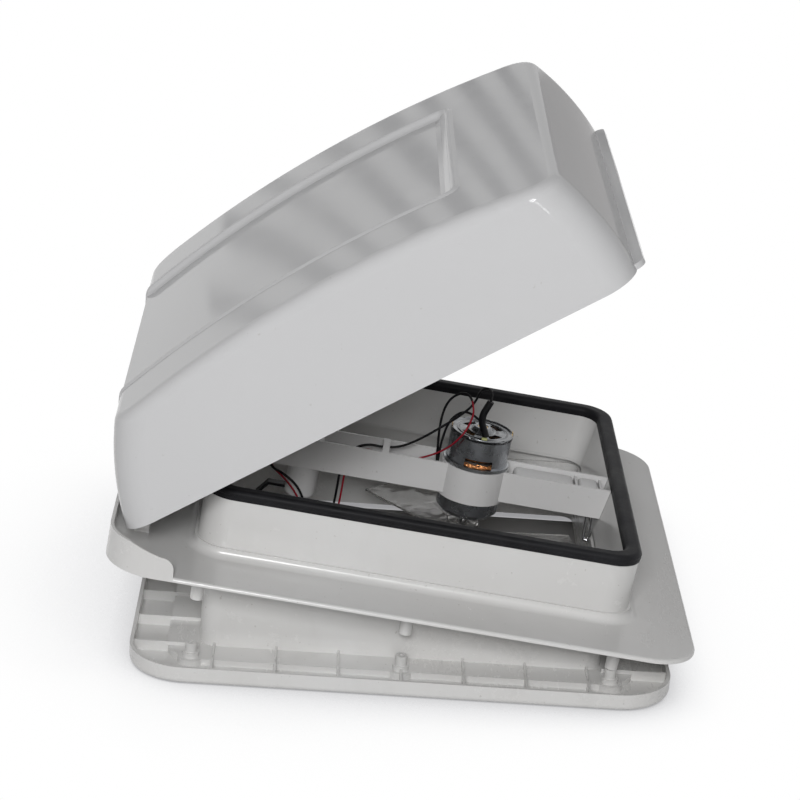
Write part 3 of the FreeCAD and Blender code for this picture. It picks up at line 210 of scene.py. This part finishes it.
def moulded(name, clean, dull, roughness, grain=2200.0, grain_depth=0.00003, dust=0.25, soften=1.0):
    """White moulded plastic: cloudy tone, fine spark grain, faint scuffs and specks of dirt."""
    n = new_nodes(name)
    cloud = n.noise(6.0, 4.0, 0.55)
    tone = n.mix(n.span(cloud, 0.0, 1.0, 0.3, 0.7), rgba(*clean), rgba(*dull))
    streak = n.noise(24.0, 6.0, 0.65, (1.0, 1.0, 0.35))
    tone = n.mix(n.span(streak, 0.0, dust, 0.52, 0.8), tone, rgba(*(c * 0.82 for c in dull)))
    speck = n.noise(260.0, 2.0, 0.5)
    tone = n.mix(n.span(speck, 0.0, 0.35, 0.71, 0.76), tone, rgba(0.30, 0.28, 0.25))
    fine = n.noise(grain, 2.0, 0.6)
    scuff = n.noise(70.0, 8.0, 0.75, (1.0, 0.25, 1.0))
    rough = n.span(n.mix(0.5, cloud, scuff), roughness - 0.07, roughness + 0.10, 0.35, 0.65)
    normal = n.bump(n.noise(9.0, 2.0), 0.12 * soften, 0.0006)
    normal = n.bump(fine, 0.25, grain_depth, normal)
    n.surface(tone, rough, normal, IOR=1.5)
    return n.owner


def glossy_shell():
    """White acrylic sheet of the hood: smooth and glossy, hardly clouded, with fine wipe marks."""
    n = new_nodes("hood_plastic")
    cloud = n.noise(3.0, 2.0, 0.5)
    tone = n.mix(n.span(cloud, 0.0, 1.0, 0.35, 0.65), rgba(0.570, 0.568, 0.570),
                 rgba(0.553, 0.551, 0.552))
    speck = n.noise(210.0, 2.0, 0.5)
    tone = n.mix(n.span(speck, 0.0, 0.3, 0.74, 0.79), tone, rgba(0.34, 0.32, 0.29))
    wipe = n.noise(34.0, 6.0, 0.7, (0.25, 1.0, 1.0))
    rough = n.span(n.mix(0.5, cloud, wipe), 0.055, 0.10, 0.35, 0.65)
    normal = n.bump(n.noise(5.0, 1.0), 0.08, 0.0008)
    normal = n.bump(n.noise(900.0, 1.0), 0.05, 0.00001, normal)
    n.surface(tone, rough, normal, IOR=1.25)
    return n.owner


def metal(name, light, dark, roughness, scale=90.0, brushed=(1.0, 1.0, 12.0), spots=0.5):
    """Plated metal: uneven plate, fine lines and duller spots."""
    n = new_nodes(name)
    patch = n.noise(scale, 5.0, 0.6)
    tone = n.mix(n.span(patch, 0.0, 1.0, 0.35, 0.68), rgba(*light), rgba(*dark))
    stain = n.noise(scale * 3.2, 6.0, 0.7)
    tone = n.mix(n.span(stain, 0.0, spots, 0.55, 0.75), tone, rgba(*(c * 0.55 for c in dark)))
    lines = n.noise(900.0, 2.0, 0.5, brushed)
    rough = n.span(patch, roughness - 0.06, roughness + 0.12, 0.3, 0.7)
    normal = n.bump(lines, 0.2, 0.00003)
    n.surface(tone, rough, normal, Metallic=1.0)
    return n.owner


def foam_rubber():
    """Black foam seal with a matt skin, fine pores and a dusty bloom."""
    n = new_nodes("foam_rubber")
    cloud = n.noise(40.0, 4.0, 0.6)
    tone = n.mix(n.span(cloud, 0.0, 1.0, 0.35, 0.7), rgba(0.008, 0.008, 0.009),
                 rgba(0.016, 0.016, 0.018))
    dust = n.noise(420.0, 3.0, 0.6)
    tone = n.mix(n.span(dust, 0.0, 0.25, 0.6, 0.8), tone, rgba(0.045, 0.045, 0.05))
    pores = n.noise(1500.0, 2.0, 0.6)
    normal = n.bump(n.noise(60.0, 3.0), 0.5, 0.0007)
    normal = n.bump(pores, 0.6, 0.00012, normal)
    n.surface(tone, n.span(cloud, 0.42, 0.60, 0.3, 0.7), normal, IOR=1.2)
    return n.owner


def insulation(name, colour, dull):
    """Lead insulation, smooth with a soft shine and a little grime."""
    n = new_nodes(name)
    cloud = n.noise(120.0, 4.0, 0.6)
    tone = n.mix(n.span(cloud, 0.0, 0.7, 0.4, 0.7), rgba(*colour), rgba(*dull))
    normal = n.bump(n.noise(700.0, 2.0), 0.15, 0.00005)
    n.surface(tone, n.span(cloud, 0.30, 0.48, 0.3, 0.7), normal, IOR=1.22)
    return n.owner


def smoky_plastic():
    """Translucent grey moulding of the fan, with flow marks."""
    n = new_nodes("smoky_plastic")
    flow = n.noise(22.0, 4.0, 0.55, (1.0, 1.0, 3.0))
    tone = n.mix(n.span(flow, 0.0, 1.0, 0.35, 0.7), rgba(0.66, 0.65, 0.63), rgba(0.80, 0.79, 0.77))
    normal = n.bump(n.noise(34.0, 2.0, 0.5), 0.8, 0.0022)
    n.surface(tone, n.span(flow, 0.06, 0.15, 0.3, 0.7), normal, IOR=1.46,
              Transmission_Weight=0.92)
    return n.owner


def copper_wire():
    """Enamelled copper, reddish brown, mixed at random with brighter patches that are painted
    glints.
    """
    n = new_nodes("copper_wire")
    # Painted glints: the noise mixes brighter copper into the reddish brown.
    patch = n.noise(350.0, 4.0, 0.6)
    tone = n.mix(n.span(patch, 0.0, 1.0, 0.35, 0.7), rgba(0.92, 0.47, 0.20), rgba(0.55, 0.20, 0.07))
    normal = n.bump(n.noise(1800.0, 2.0), 0.25, 0.00005)
    n.surface(tone, n.span(patch, 0.20, 0.38), normal, Metallic=0.75)
    return n.owner


def iron():
    """Dark lamination edges of the armature."""
    n = new_nodes("iron")
    rings = n.add("ShaderNodeTexWave")
    rings.bands_direction = "Z"
    rings.inputs["Scale"].default_value = 500.0
    rings.inputs["Distortion"].default_value = 1.0
    n.link(n.position(), rings.inputs["Vector"])
    tone = n.mix(rings.outputs["Fac"], rgba(0.07, 0.065, 0.06), rgba(0.16, 0.15, 0.145))
    normal = n.bump(rings.outputs["Fac"], 0.4, 0.00008)
    n.surface(tone, n.span(n.noise(200.0), 0.35, 0.6), normal, Metallic=0.9)
    return n.owner


MATERIALS = {
    "hood": glossy_shell(),
    "base": moulded("base_plastic", (0.645, 0.642, 0.633), (0.612, 0.604, 0.590), 0.19, 1500.0,
                    0.00001, 0.2, 0.5),
    "trim": moulded("trim_plastic", (0.645, 0.642, 0.632), (0.612, 0.602, 0.585), 0.24, 1600.0,
                    0.00001, 0.3, 0.6),
    "bridge": moulded("bridge_plastic", (0.64, 0.637, 0.635), (0.585, 0.575, 0.565), 0.40, 1800.0,
                      0.00004, 0.4),
    "knob": moulded("knob_plastic", (0.60, 0.598, 0.585), (0.57, 0.565, 0.55), 0.32),
    "foam": foam_rubber(),
    "can": metal("can_plate", (0.50, 0.52, 0.545), (0.37, 0.385, 0.41), 0.24, 60.0,
                 (1.0, 1.0, 0.05), 0.25),
    "bell": metal("bell_plate", (0.23, 0.235, 0.245), (0.12, 0.125, 0.13), 0.22, 80.0),
    "lug": moulded("lug_plastic", (0.46, 0.47, 0.20), (0.38, 0.39, 0.16), 0.4),
    "zinc": metal("zinc_plate", (0.42, 0.43, 0.44), (0.25, 0.26, 0.27), 0.33),
    "steel": metal("bright_steel", (0.60, 0.60, 0.61), (0.42, 0.42, 0.43), 0.26, 160.0),
    "bronze": metal("bronze_metal", (0.55, 0.40, 0.20), (0.36, 0.24, 0.11), 0.35, 220.0),
    "chrome": metal("chrome_wire", (0.82, 0.82, 0.83), (0.62, 0.62, 0.64), 0.12, 200.0),
    "black": insulation("black_plastic", (0.005, 0.005, 0.006), (0.014, 0.014, 0.014)),
    "lead_black": insulation("lead_black", (0.004, 0.004, 0.005), (0.012, 0.012, 0.012)),
    "lead_red": insulation("lead_red", (0.26, 0.010, 0.022), (0.17, 0.012, 0.018)),
    "smoky": smoky_plastic(),
    "copper": copper_wire(),
    "iron": iron(),
}

NODE_MATERIALS = {
    "interior_trim": "trim", "roof_base": "base", "collar_gasket": "foam",
    "motor_bridge": "bridge", "bridge_screws": "steel", "motor_can": "can",
    "motor_end_bell": "bell", "motor_bushes": "bronze", "motor_flux_ring": "zinc",
    "brush_terminals": "bronze", "armature_core": "iron", "armature_windings": "copper",
    "fan_shaft": "steel", "fan_blades": "smoky", "fan_nut": "steel", "crank_housing": "bridge",
    "crank_spindle": "steel", "crank_knob": "knob", "lift_arm": "zinc", "arm_shaft": "steel",
    "arm_pin": "steel", "arm_roller": "knob", "lift_track": "zinc", "hood_shell": "hood",
    "hood_seal_frame": "hood", "hood_knuckles": "hood", "hinge_pins": "steel",
    "lead_connectors": "black", "lead_clip": "bridge", "stay_strap": "black",
    "spring_clip": "chrome", "lead_sleeve": "black", "lead_arch": "lead_black",
    "lead_brush": "lead_black", "lead_feed": "lead_black", "lead_return": "lead_red",
}


for node, key in NODE_MATERIALS.items():
    for slot in bpy.data.objects[node].material_slots:
        slot.material = MATERIALS[key]


# Making pieces

def place_piece(name, data, body, material):
    """An object of a mesh or a curve that rides on a body."""
    obj = bpy.data.objects.new(name, data)
    bpy.context.scene.collection.objects.link(obj)
    data.materials.append(MATERIALS[material])
    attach(obj, body)
    return obj


def round_lines(name, lines, radius, material, kind="NURBS", closed=False, sides=3, steps=12):
    """Round bars of one radius in millimetres along lines of points, on the roof part."""
    curve = bpy.data.curves.new(name, "CURVE")
    curve.dimensions = "3D"
    for line in lines:
        spline = curve.splines.new(kind)
        spline.points.add(len(line) - 1)
        for point, place in zip(spline.points, line):
            point.co = (*place, 1.0)
        if kind == "NURBS":
            spline.order_u = 3
            spline.use_endpoint_u = True
            spline.resolution_u = steps
        spline.use_cyclic_u = closed
    curve.bevel_depth = radius / 1000
    curve.bevel_resolution = sides
    curve.use_fill_caps = not closed
    return place_piece(name, curve, "roof_frame", material)


def mesh_piece(name, bm, body, material, smooth=True):
    """A piece made of the faces in bm, which is freed."""
    mesh = mesh_from(name, bm)
    for face in mesh.polygons:
        face.use_smooth = smooth
    return place_piece(name, mesh, body, material)


def mesh_from(name, bm):
    bmesh.ops.recalc_face_normals(bm, faces=bm.faces)
    mesh = bpy.data.meshes.new(name)
    bm.to_mesh(mesh)
    bm.free()
    return mesh


# Leads: each follows one smooth line with its route's own points, in the roof part's frame.

LEAD_FEED = [
    (50, -17.5, 121), (50.8, -16.8, 131.5), (40, -14, 131.5), (37, -11.5, 114), (26, -11.5, 100),
    (12, -11.5, 87), (-4, -11.5, 72.5), (-19, -11, 62), (-33, -11, 58.5), (-49, -10.5, 59),
    (-61, -10.5, 53), (-68, -11.5, 42), (-69.5, -11.5, 26), (-69, -12, 8), (-69.5, -12.5, -12),
    (-73, -16, -29), (-82, -22, -31), (-91, -24, -17), (-97, -24, 1), (-106, -23, 14),
    (-119, -20, 21), (-132.5, -12.6, 23), (-138, -12.2, 34),
]
LEAD_RETURN = [
    (34, -12.5, 117), (37.5, -16, 109.5), (36, -21.5, 101.5), (32.5, -27.5, 93), (26.5, -26.5, 82),
    (20, -18.5, 70.5), (9.5, -13.8, 60.5), (-4, -13.4, 54), (-17, -13.4, 49), (-33, -13.4, 50.5),
    (-47, -13.4, 56), (-57, -13.2, 52.5), (-63.5, -12, 42), (-65, -11, 26), (-64.5, -11, 8),
    (-65, -12, -12), (-69, -20, -32), (-80, -28, -36), (-93, -29, -20), (-100, -28, 0),
    (-109, -25.5, 11), (-120, -17.5, 18), (-131, -9.6, 22), (-134, -9.4, 34),
]
LEAD_ARCH = [
    (16, -4, 41), (14, -4, 58), (11.5, -4, 78), (11, -4, 98), (15, -5, 113), (24, -7.5, 121),
    (31, -10.5, 121.5), (34, -12.5, 117),
]
LEAD_BRUSH = [
    (16.5, -9, 41), (15, -8.5, 56), (15, -8, 74), (18, -7.5, 93), (27, -7.5, 103.5),
    (37, -10.5, 104.5), (45.5, -18.2, 100.5),
]


def smooth_lead(name, node, route, radius, material):
    """A round lead in place of its solid."""
    line = [in_base(*place) for place in route]
    lead = round_lines(name, [line], radius, material, sides=5, steps=10)
    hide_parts(node)
    return lead


feed = smooth_lead("feed_lead", "lead_feed", LEAD_FEED, 1.1, "lead_black")
back = smooth_lead("return_lead", "lead_return", LEAD_RETURN, 0.9, "lead_red")
smooth_lead("arch_lead", "lead_arch", LEAD_ARCH, 1.1, "lead_black")
smooth_lead("brush_lead", "lead_brush", LEAD_BRUSH, 1.1, "lead_black")


# Hood: the rim of its recessed panel, laid on the skin of its shell

ARCH_MIDDLE = Vector((200.0, 0.0, -150.0))
OUTSIDE = 450.0
BESIDE_PANEL = -147.0
PANEL_FRONT = 364.0
PANEL_HALF = 135.0
PANEL_CORNER = 12.0
REAR_MARGIN = 6.0
RIM_STEPS = 150
CORNER_STEPS = 12
FRONT_STEPS = 24
RIM_SECTION = ((5.6, -0.5), (4.6, 0.0), (3.5, 0.5), (2.5, 1.15), (1.3, 1.6), (0.1, 1.6),
               (-1.0, 1.05), (-1.8, 0.1), (-2.5, -1.2), (-3.5, -2.7), (-5.0, -3.8), (-7.2, -4.4),
               (-8.2, -5.0))


def skin_table(first, last, steps):
    """Points of the hood's outer skin beside its panel, by angle, with the way along to each."""
    shell = bpy.data.objects["hood_shell"].data
    to_hood = HOOD.inverted()
    tree = BVHTree.FromPolygons([to_hood @ v.co for v in shell.vertices],
                                [tuple(p.vertices) for p in shell.polygons])
    table = []
    for i in range(steps + 1):
        angle = math.radians(first + (last - first) * i / steps)
        out = Vector((math.cos(angle), 0.0, math.sin(angle)))
        start = (ARCH_MIDDLE + out * OUTSIDE + Vector((0, BESIDE_PANEL, 0))) / 1000
        place, _, _, _ = tree.ray_cast(start, -out)
        if place is None:
            break
        point = Vector((place.x * 1000, 0.0, place.z * 1000))
        far = 0.0 if not table else table[-1][0] + (point - table[-1][1]).length
        table.append((far, point))
    return table


def skin_place(table, way):
    """Point of the skin and its outward direction at a way along the arch."""
    for (near, a), (far, b) in zip(table, table[1:]):
        if way <= far or (far, b) == table[-1]:
            share = (way - near) / (far - near)
            along = (b - a).normalized()
            return a.lerp(b, share), Vector((-along.z, 0.0, along.x)) * (1 if along.x > 0 else -1)


def rim_path(front, last):
    """Way along the arch, place across and outward direction, from one rear end to the other."""
    inner = front + PANEL_CORNER
    straight = PANEL_HALF - PANEL_CORNER
    turns = [math.radians(90 * i / CORNER_STEPS) for i in range(1, CORNER_STEPS)]
    path = [(last + (inner - last) * i / RIM_STEPS, -PANEL_HALF, 0.0, -1.0)
            for i in range(RIM_STEPS + 1)]
    path += [(inner - PANEL_CORNER * math.sin(turn), -straight - PANEL_CORNER * math.cos(turn),
              -math.sin(turn), -math.cos(turn)) for turn in turns]
    path += [(front, -straight + straight * 2 * i / FRONT_STEPS, -1.0, 0.0)
             for i in range(FRONT_STEPS + 1)]
    path += [(inner - PANEL_CORNER * math.cos(turn), straight + PANEL_CORNER * math.sin(turn),
              -math.cos(turn), math.sin(turn)) for turn in turns]
    path += [(inner + (last - inner) * i / RIM_STEPS, PANEL_HALF, 0.0, 1.0)
             for i in range(RIM_STEPS + 1)]
    return path


def panel_rim():
    """Soft rounded rim round the recessed panel, open at the hinge side, wider at the front."""
    table = skin_table(54.0, 150.0, 240)
    front = next(way for way, point in table if point.x <= PANEL_FRONT)
    last = table[-1][0] - REAR_MARGIN
    bm = bmesh.new()
    rows = []
    for way, across, out_way, out_across in rim_path(front, last):
        widen = 1.0 + 0.9 * out_way * out_way
        row = []
        for reach, height in RIM_SECTION:
            reach = reach * (widen if reach < 0 else 1.0)
            place, up = skin_place(table, way + reach * out_way)
            spot = place + up * height
            row.append(bm.verts.new(in_hood(spot.x, across + reach * out_across, spot.z)))
        rows.append(row)
    for low, high in zip(rows, rows[1:]):
        for i in range(len(low) - 1):
            bm.faces.new((low[i], low[i + 1], high[i + 1], high[i]))
    mesh_piece("panel_rim", bm, "hood", "hood")


panel_rim()


# Pieces on the trim and the roof part

def rounded_box(bm, matrix, size, radius, segments=3):
    """A box with rounded edges, its middle at the matrix."""
    made = bmesh.ops.create_cube(bm, size=1.0)
    verts = made["verts"]
    for vert in verts:
        vert.co = Vector((vert.co.x * size[0], vert.co.y * size[1], vert.co.z * size[2]))
    edges = {edge for vert in verts for edge in vert.link_edges}
    done = bmesh.ops.bevel(bm, geom=list(edges), offset=radius, segments=segments, profile=0.5,
                           affect="EDGES")
    touched = {vert for face in done["faces"] for vert in face.verts} | set(
        v for v in verts if v.is_valid)
    for vert in touched:
        vert.co = matrix @ vert.co


RIB_LOW, RIB_TOP = 8.4, 12.0
RIB_INNER, RIB_OUTER = 171.9, 200.0
RIB_THICK = 0.0018


def shelf_ribs():
    """The ribs' low run over the raised shelf, up to the upstand, except at the middle bosses."""
    bm = bmesh.new()
    middle, level = (RIB_INNER + RIB_OUTER) / 2000, (RIB_LOW + RIB_TOP) / 2000
    long, high = (RIB_OUTER - RIB_INNER) / 1000, (RIB_TOP - RIB_LOW) / 1000
    for i in (0, 1, 2, 4, 5, 6):
        for side in (-1, 1):
            place = Matrix.Translation(((-159 + 53 * i) / 1000, side * middle, level))
            rounded_box(bm, place, (RIB_THICK, long, high), 0.0004)
    for i in range(8):
        for side in (-1, 1):
            place = Matrix.Translation((side * middle, (-175 + 50 * i) / 1000, level))
            rounded_box(bm, place, (long, RIB_THICK, high), 0.0004)
    mesh_piece("shelf_ribs", bm, "trim", "trim", smooth=False)


shelf_ribs()


def ring_points(half_x, half_y, corner, level, count=10):
    """A closed rounded rectangle at one level of the roof part, anticlockwise."""
    points = []
    for sx, sy, start in ((1, 1, 0), (-1, 1, 90), (-1, -1, 180), (1, -1, 270)):
        for i in range(count + 1):
            angle = math.radians(start + 90 * i / count)
            points.append(in_base(sx * (half_x - corner) + corner * math.cos(angle),
                                  sy * (half_y - corner) + corner * math.sin(angle), level))
    return points


def gasket_beads():
    """Two low ridges round the outside of the foam seal."""
    rings = [ring_points(186.75, 181.75, 25.75, level) for level in (57.6, 60.3)]
    round_lines("gasket_beads", rings, 0.6, "foam", kind="POLY", closed=True)


gasket_beads()


# Motor: the pressed end cap, the lug on it, and the wires seen through the can's window

MOTOR_X = 49.6
MOTOR_HIGH = 84.0
CAP_TOP = MOTOR_HIGH + 2.2
CAP_RINGS = (
    (28.4, MOTOR_HIGH), (28.5, MOTOR_HIGH + 2.9), (28.2, MOTOR_HIGH + 3.4),
    (27.5, MOTOR_HIGH + 3.5), (26.9, MOTOR_HIGH + 3.2), (26.6, CAP_TOP + 0.1), (25.9, CAP_TOP),
    (24.0, CAP_TOP),
    (22.9, CAP_TOP), (22.4, CAP_TOP + 0.5), (21.4, CAP_TOP + 0.6), (20.9, CAP_TOP + 0.1),
    (19.4, CAP_TOP), (16.4, CAP_TOP), (13.6, CAP_TOP), (13.1, CAP_TOP + 0.7), (12.0, CAP_TOP + 0.9),
    (11.3, CAP_TOP + 0.4), (9.9, CAP_TOP + 0.5), (9.0, MOTOR_HIGH + 4.4), (7.8, MOTOR_HIGH + 5.8),
    (6.6, MOTOR_HIGH + 6.1), (4.6, MOTOR_HIGH + 6.1))
CAP_SECTORS = 144
SLOT_RINGS, SLOT_STARTS, SLOT_WIDE = (12, 13), (8, 44, 80, 116), 17
NOTCH_RINGS, NOTCH_STARTS, NOTCH_WIDE = (1, 2, 3), (2, 26, 50, 74, 98, 122), 3


def on_motor(radius, angle, level):
    return in_base(MOTOR_X + radius * math.cos(angle), radius * math.sin(angle), level)


def cap_open(ring, sector):
    """Whether a face of the cap falls in a slot or a notch."""
    if ring in SLOT_RINGS:
        return any(start <= sector < start + SLOT_WIDE for start in SLOT_STARTS)
    if ring in NOTCH_RINGS:
        return any(start <= sector < start + NOTCH_WIDE for start in NOTCH_STARTS)
    return False


def end_cap():
    """Turned cap with rings, small slots, a raised boss and a notched rim."""
    bm = bmesh.new()
    rows = [[bm.verts.new(on_motor(radius, 2 * math.pi * i / CAP_SECTORS, level))
             for i in range(CAP_SECTORS)] for radius, level in CAP_RINGS]
    for k, (low, high) in enumerate(zip(rows, rows[1:])):
        for i in range(CAP_SECTORS):
            j = (i + 1) % CAP_SECTORS
            if not cap_open(k, i):
                bm.faces.new((low[i], low[j], high[j], high[i]))
    bmesh.ops.delete(bm, geom=[v for v in bm.verts if not v.link_faces], context="VERTS")
    cap = mesh_piece("end_cap", bm, "roof_frame", "bell")
    shell = cap.modifiers.new("thick", "SOLIDIFY")
    shell.thickness = 0.0005
    shell.offset = -1.0
    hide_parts("motor_end_bell")


end_cap()


def solder_lug():
    """A small lug at the foot of the lead sleeve."""
    bm = bmesh.new()
    place = (BASE @ Matrix.Translation(Vector((MOTOR_X + 1.0, -23.4, MOTOR_HIGH + 3.0)) / 1000)
             @ Matrix.Rotation(math.radians(4), 4, "Z"))
    rounded_box(bm, place, (0.0052, 0.0032, 0.0024), 0.0024 / 3.5)
    mesh_piece("solder_lug", bm, "roof_frame", "lug", smooth=False)


solder_lug()


def winding_wires():
    """Copper strands bunched behind the can's windows."""
    lines = []
    for side in (-1, 1):
        for k in range(6):
            line = []
            for i in range(9):
                angle = math.radians(90 * side + (i - 4) * 8.5)
                radius = 23.2 + 1.1 * math.sin(2.1 * k + 1.7 * i)
                level = 58.2 + 0.45 * k + 1.1 * math.sin(1.9 * i + 2.4 * k)
                line.append(on_motor(radius, angle, level))
            lines.append(line)
    round_lines("winding_wires", lines, 0.42, "copper")


winding_wires()


# Bridge: smooth raised pads inside the channel

def bridge_pads():
    """Closed rounded covers over the channel in front of the motor."""
    bm = bmesh.new()
    for low_x, high_x in ((86.0, 141.0), (145.4, 164.0)):
        place = BASE @ Matrix.Translation(((low_x + high_x) / 2000, 0.0, 0.047))
        rounded_box(bm, place, ((high_x - low_x) / 1000, 0.0292, 0.0125), 0.0042, 5)
    mesh_piece("bridge_pads", bm, "roof_frame", "bridge")


bridge_pads()


# Stage and light

def floor_painted_shadow():
    """White to the camera and in reflections, with the object's shadow painted darker under and
    inside it.
    """
    n = new_nodes("floor_painted_shadow")
    # Painted shadow: ambient occlusion darkens the floor's glow under and inside the object.
    shade = n.add("ShaderNodeAmbientOcclusion", samples=8)
    shade.inputs["Distance"].default_value = 0.30
    tone = n.ramp(shade.outputs["AO"], [(0.0, (0.30, 0.30, 0.31)), (0.30, (0.50, 0.50, 0.51)),
                                        (0.55, (0.86, 0.86, 0.87)), (0.80, (1.0, 1.0, 1.0))])
    glow = n.add("ShaderNodeEmission", Strength=1.0)
    n.link(tone, glow.inputs["Color"])
    n.seen_or_lit(glow, n.add("ShaderNodeBsdfDiffuse", Color=rgba(0.80, 0.80, 0.80)))
    return n.owner


def floor_painted_shade():
    """A dark square of painted shade on the floor inside the upstand, seen through the clear fan.
    """
    n = new_nodes("floor_painted_shade")
    n.surface(n.mix(n.noise(8.0, 3.0), rgba(0.20, 0.195, 0.19), rgba(0.27, 0.265, 0.26)), 0.9)
    return n.owner


def floor_square(name, half, level, material):
    mesh = bpy.data.meshes.new(name)
    mesh.from_pydata([(-half, -half, 0), (half, -half, 0), (half, half, 0), (-half, half, 0)], [],
                     [(0, 1, 2, 3)])
    mesh.materials.append(material)
    floor = bpy.data.objects.new(name, mesh)
    floor.location.z = level
    bpy.context.scene.collection.objects.link(floor)


def area_light(name, place, target, size, power, colour=(1.0, 1.0, 1.0)):
    data = bpy.data.lights.new(name, "AREA")
    data.shape = "RECTANGLE"
    data.size = size[0]
    data.size_y = size[1]
    data.energy = power
    data.color = colour
    light = bpy.data.objects.new(name, data)
    light.location = place
    aim = Vector(target) - Vector(place)
    light.rotation_euler = aim.to_track_quat("-Z", "Y").to_euler()
    bpy.context.scene.collection.objects.link(light)
    return light


def make_world():
    """White to the camera, in reflections and through clear plastic, and a softly lit room."""
    world = bpy.data.worlds.new("studio")
    bpy.context.scene.world = world
    n = Nodes(world, "ShaderNodeOutputWorld")
    n.seen_or_lit(n.add("ShaderNodeBackground", Color=rgba(1.0, 1.0, 1.0), Strength=1.0),
                  n.add("ShaderNodeBackground", Color=rgba(0.99, 0.99, 1.0), Strength=0.2))


floor_square("floor", 12.0, -0.0002, floor_painted_shadow())
# A dark square paints the shade on the floor inside the upstand.
floor_square("floor_inside", 0.1715, -0.0001, floor_painted_shade())
make_world()
area_light("key", (-0.25, -2.8, 1.62), (0, 0, 0.12), (0.8, 0.6), 53.0, (0.985, 0.99, 1.0))
area_light("fill", (0.05, -2.5, 1.12), (0.02, 0, 0.12), (0.35, 0.35), 5.0)
for name, place, power in (("back", (-1.3, 2.7, 0.55), 20.0), ("left", (-3.0, 0.5, 0.5), 7.0)):
    area_light(name, place, (0, 0, 0.15), (1.0, 0.7), power).visible_glossy = False


def mirrored_card(name, dark, light, faces):
    """Grey faces round the object that are seen only as reflections in its glossy parts."""
    n = new_nodes(name)
    glow = n.add("ShaderNodeEmission", Strength=1.0)
    n.link(n.mix(n.noise(2.0, 3.0), rgba(*dark), rgba(*light)), glow.inputs["Color"])
    n.link(glow.outputs[0], n.output.inputs["Surface"])
    bm = bmesh.new()
    for y, corners in faces:
        bm.faces.new([bm.verts.new((x, y, z)) for x, z in corners])
    card = bpy.data.objects.new(name, mesh_from(name, bm))
    card.data.materials.append(n.owner)
    card.visible_camera = False
    card.visible_transmission = False
    card.visible_diffuse = False
    card.visible_shadow = False
    bpy.context.scene.collection.objects.link(card)


POSTS_Y, POST_LOW, POST_HIGH, POST_LEAN = 5.2, 0.35, 2.3, 0.10
POSTS = ((-2.0, 0.07), (-1.78, 0.09), (-1.59, 0.06), (-1.40, 0.08), (-1.22, 0.10), (-1.04, 0.07),
         (-0.88, 0.08), (-0.72, 0.06))
mirrored_card("backdrop_posts", (0.30, 0.30, 0.31), (0.46, 0.46, 0.47), [
    (POSTS_Y, [(x, POST_LOW), (x + wide, POST_LOW), (x + wide + POST_LEAN, POST_HIGH),
               (x + POST_LEAN, POST_HIGH)]) for x, wide in POSTS])
mirrored_card("side_card", (0.46, 0.45, 0.45), (0.56, 0.55, 0.55), [
    (1.8, [(0.5, 0.0), (1.2, 0.0), (1.2, 0.8), (0.5, 0.8)])])

bpy.context.scene.view_settings.view_transform = "Standard"
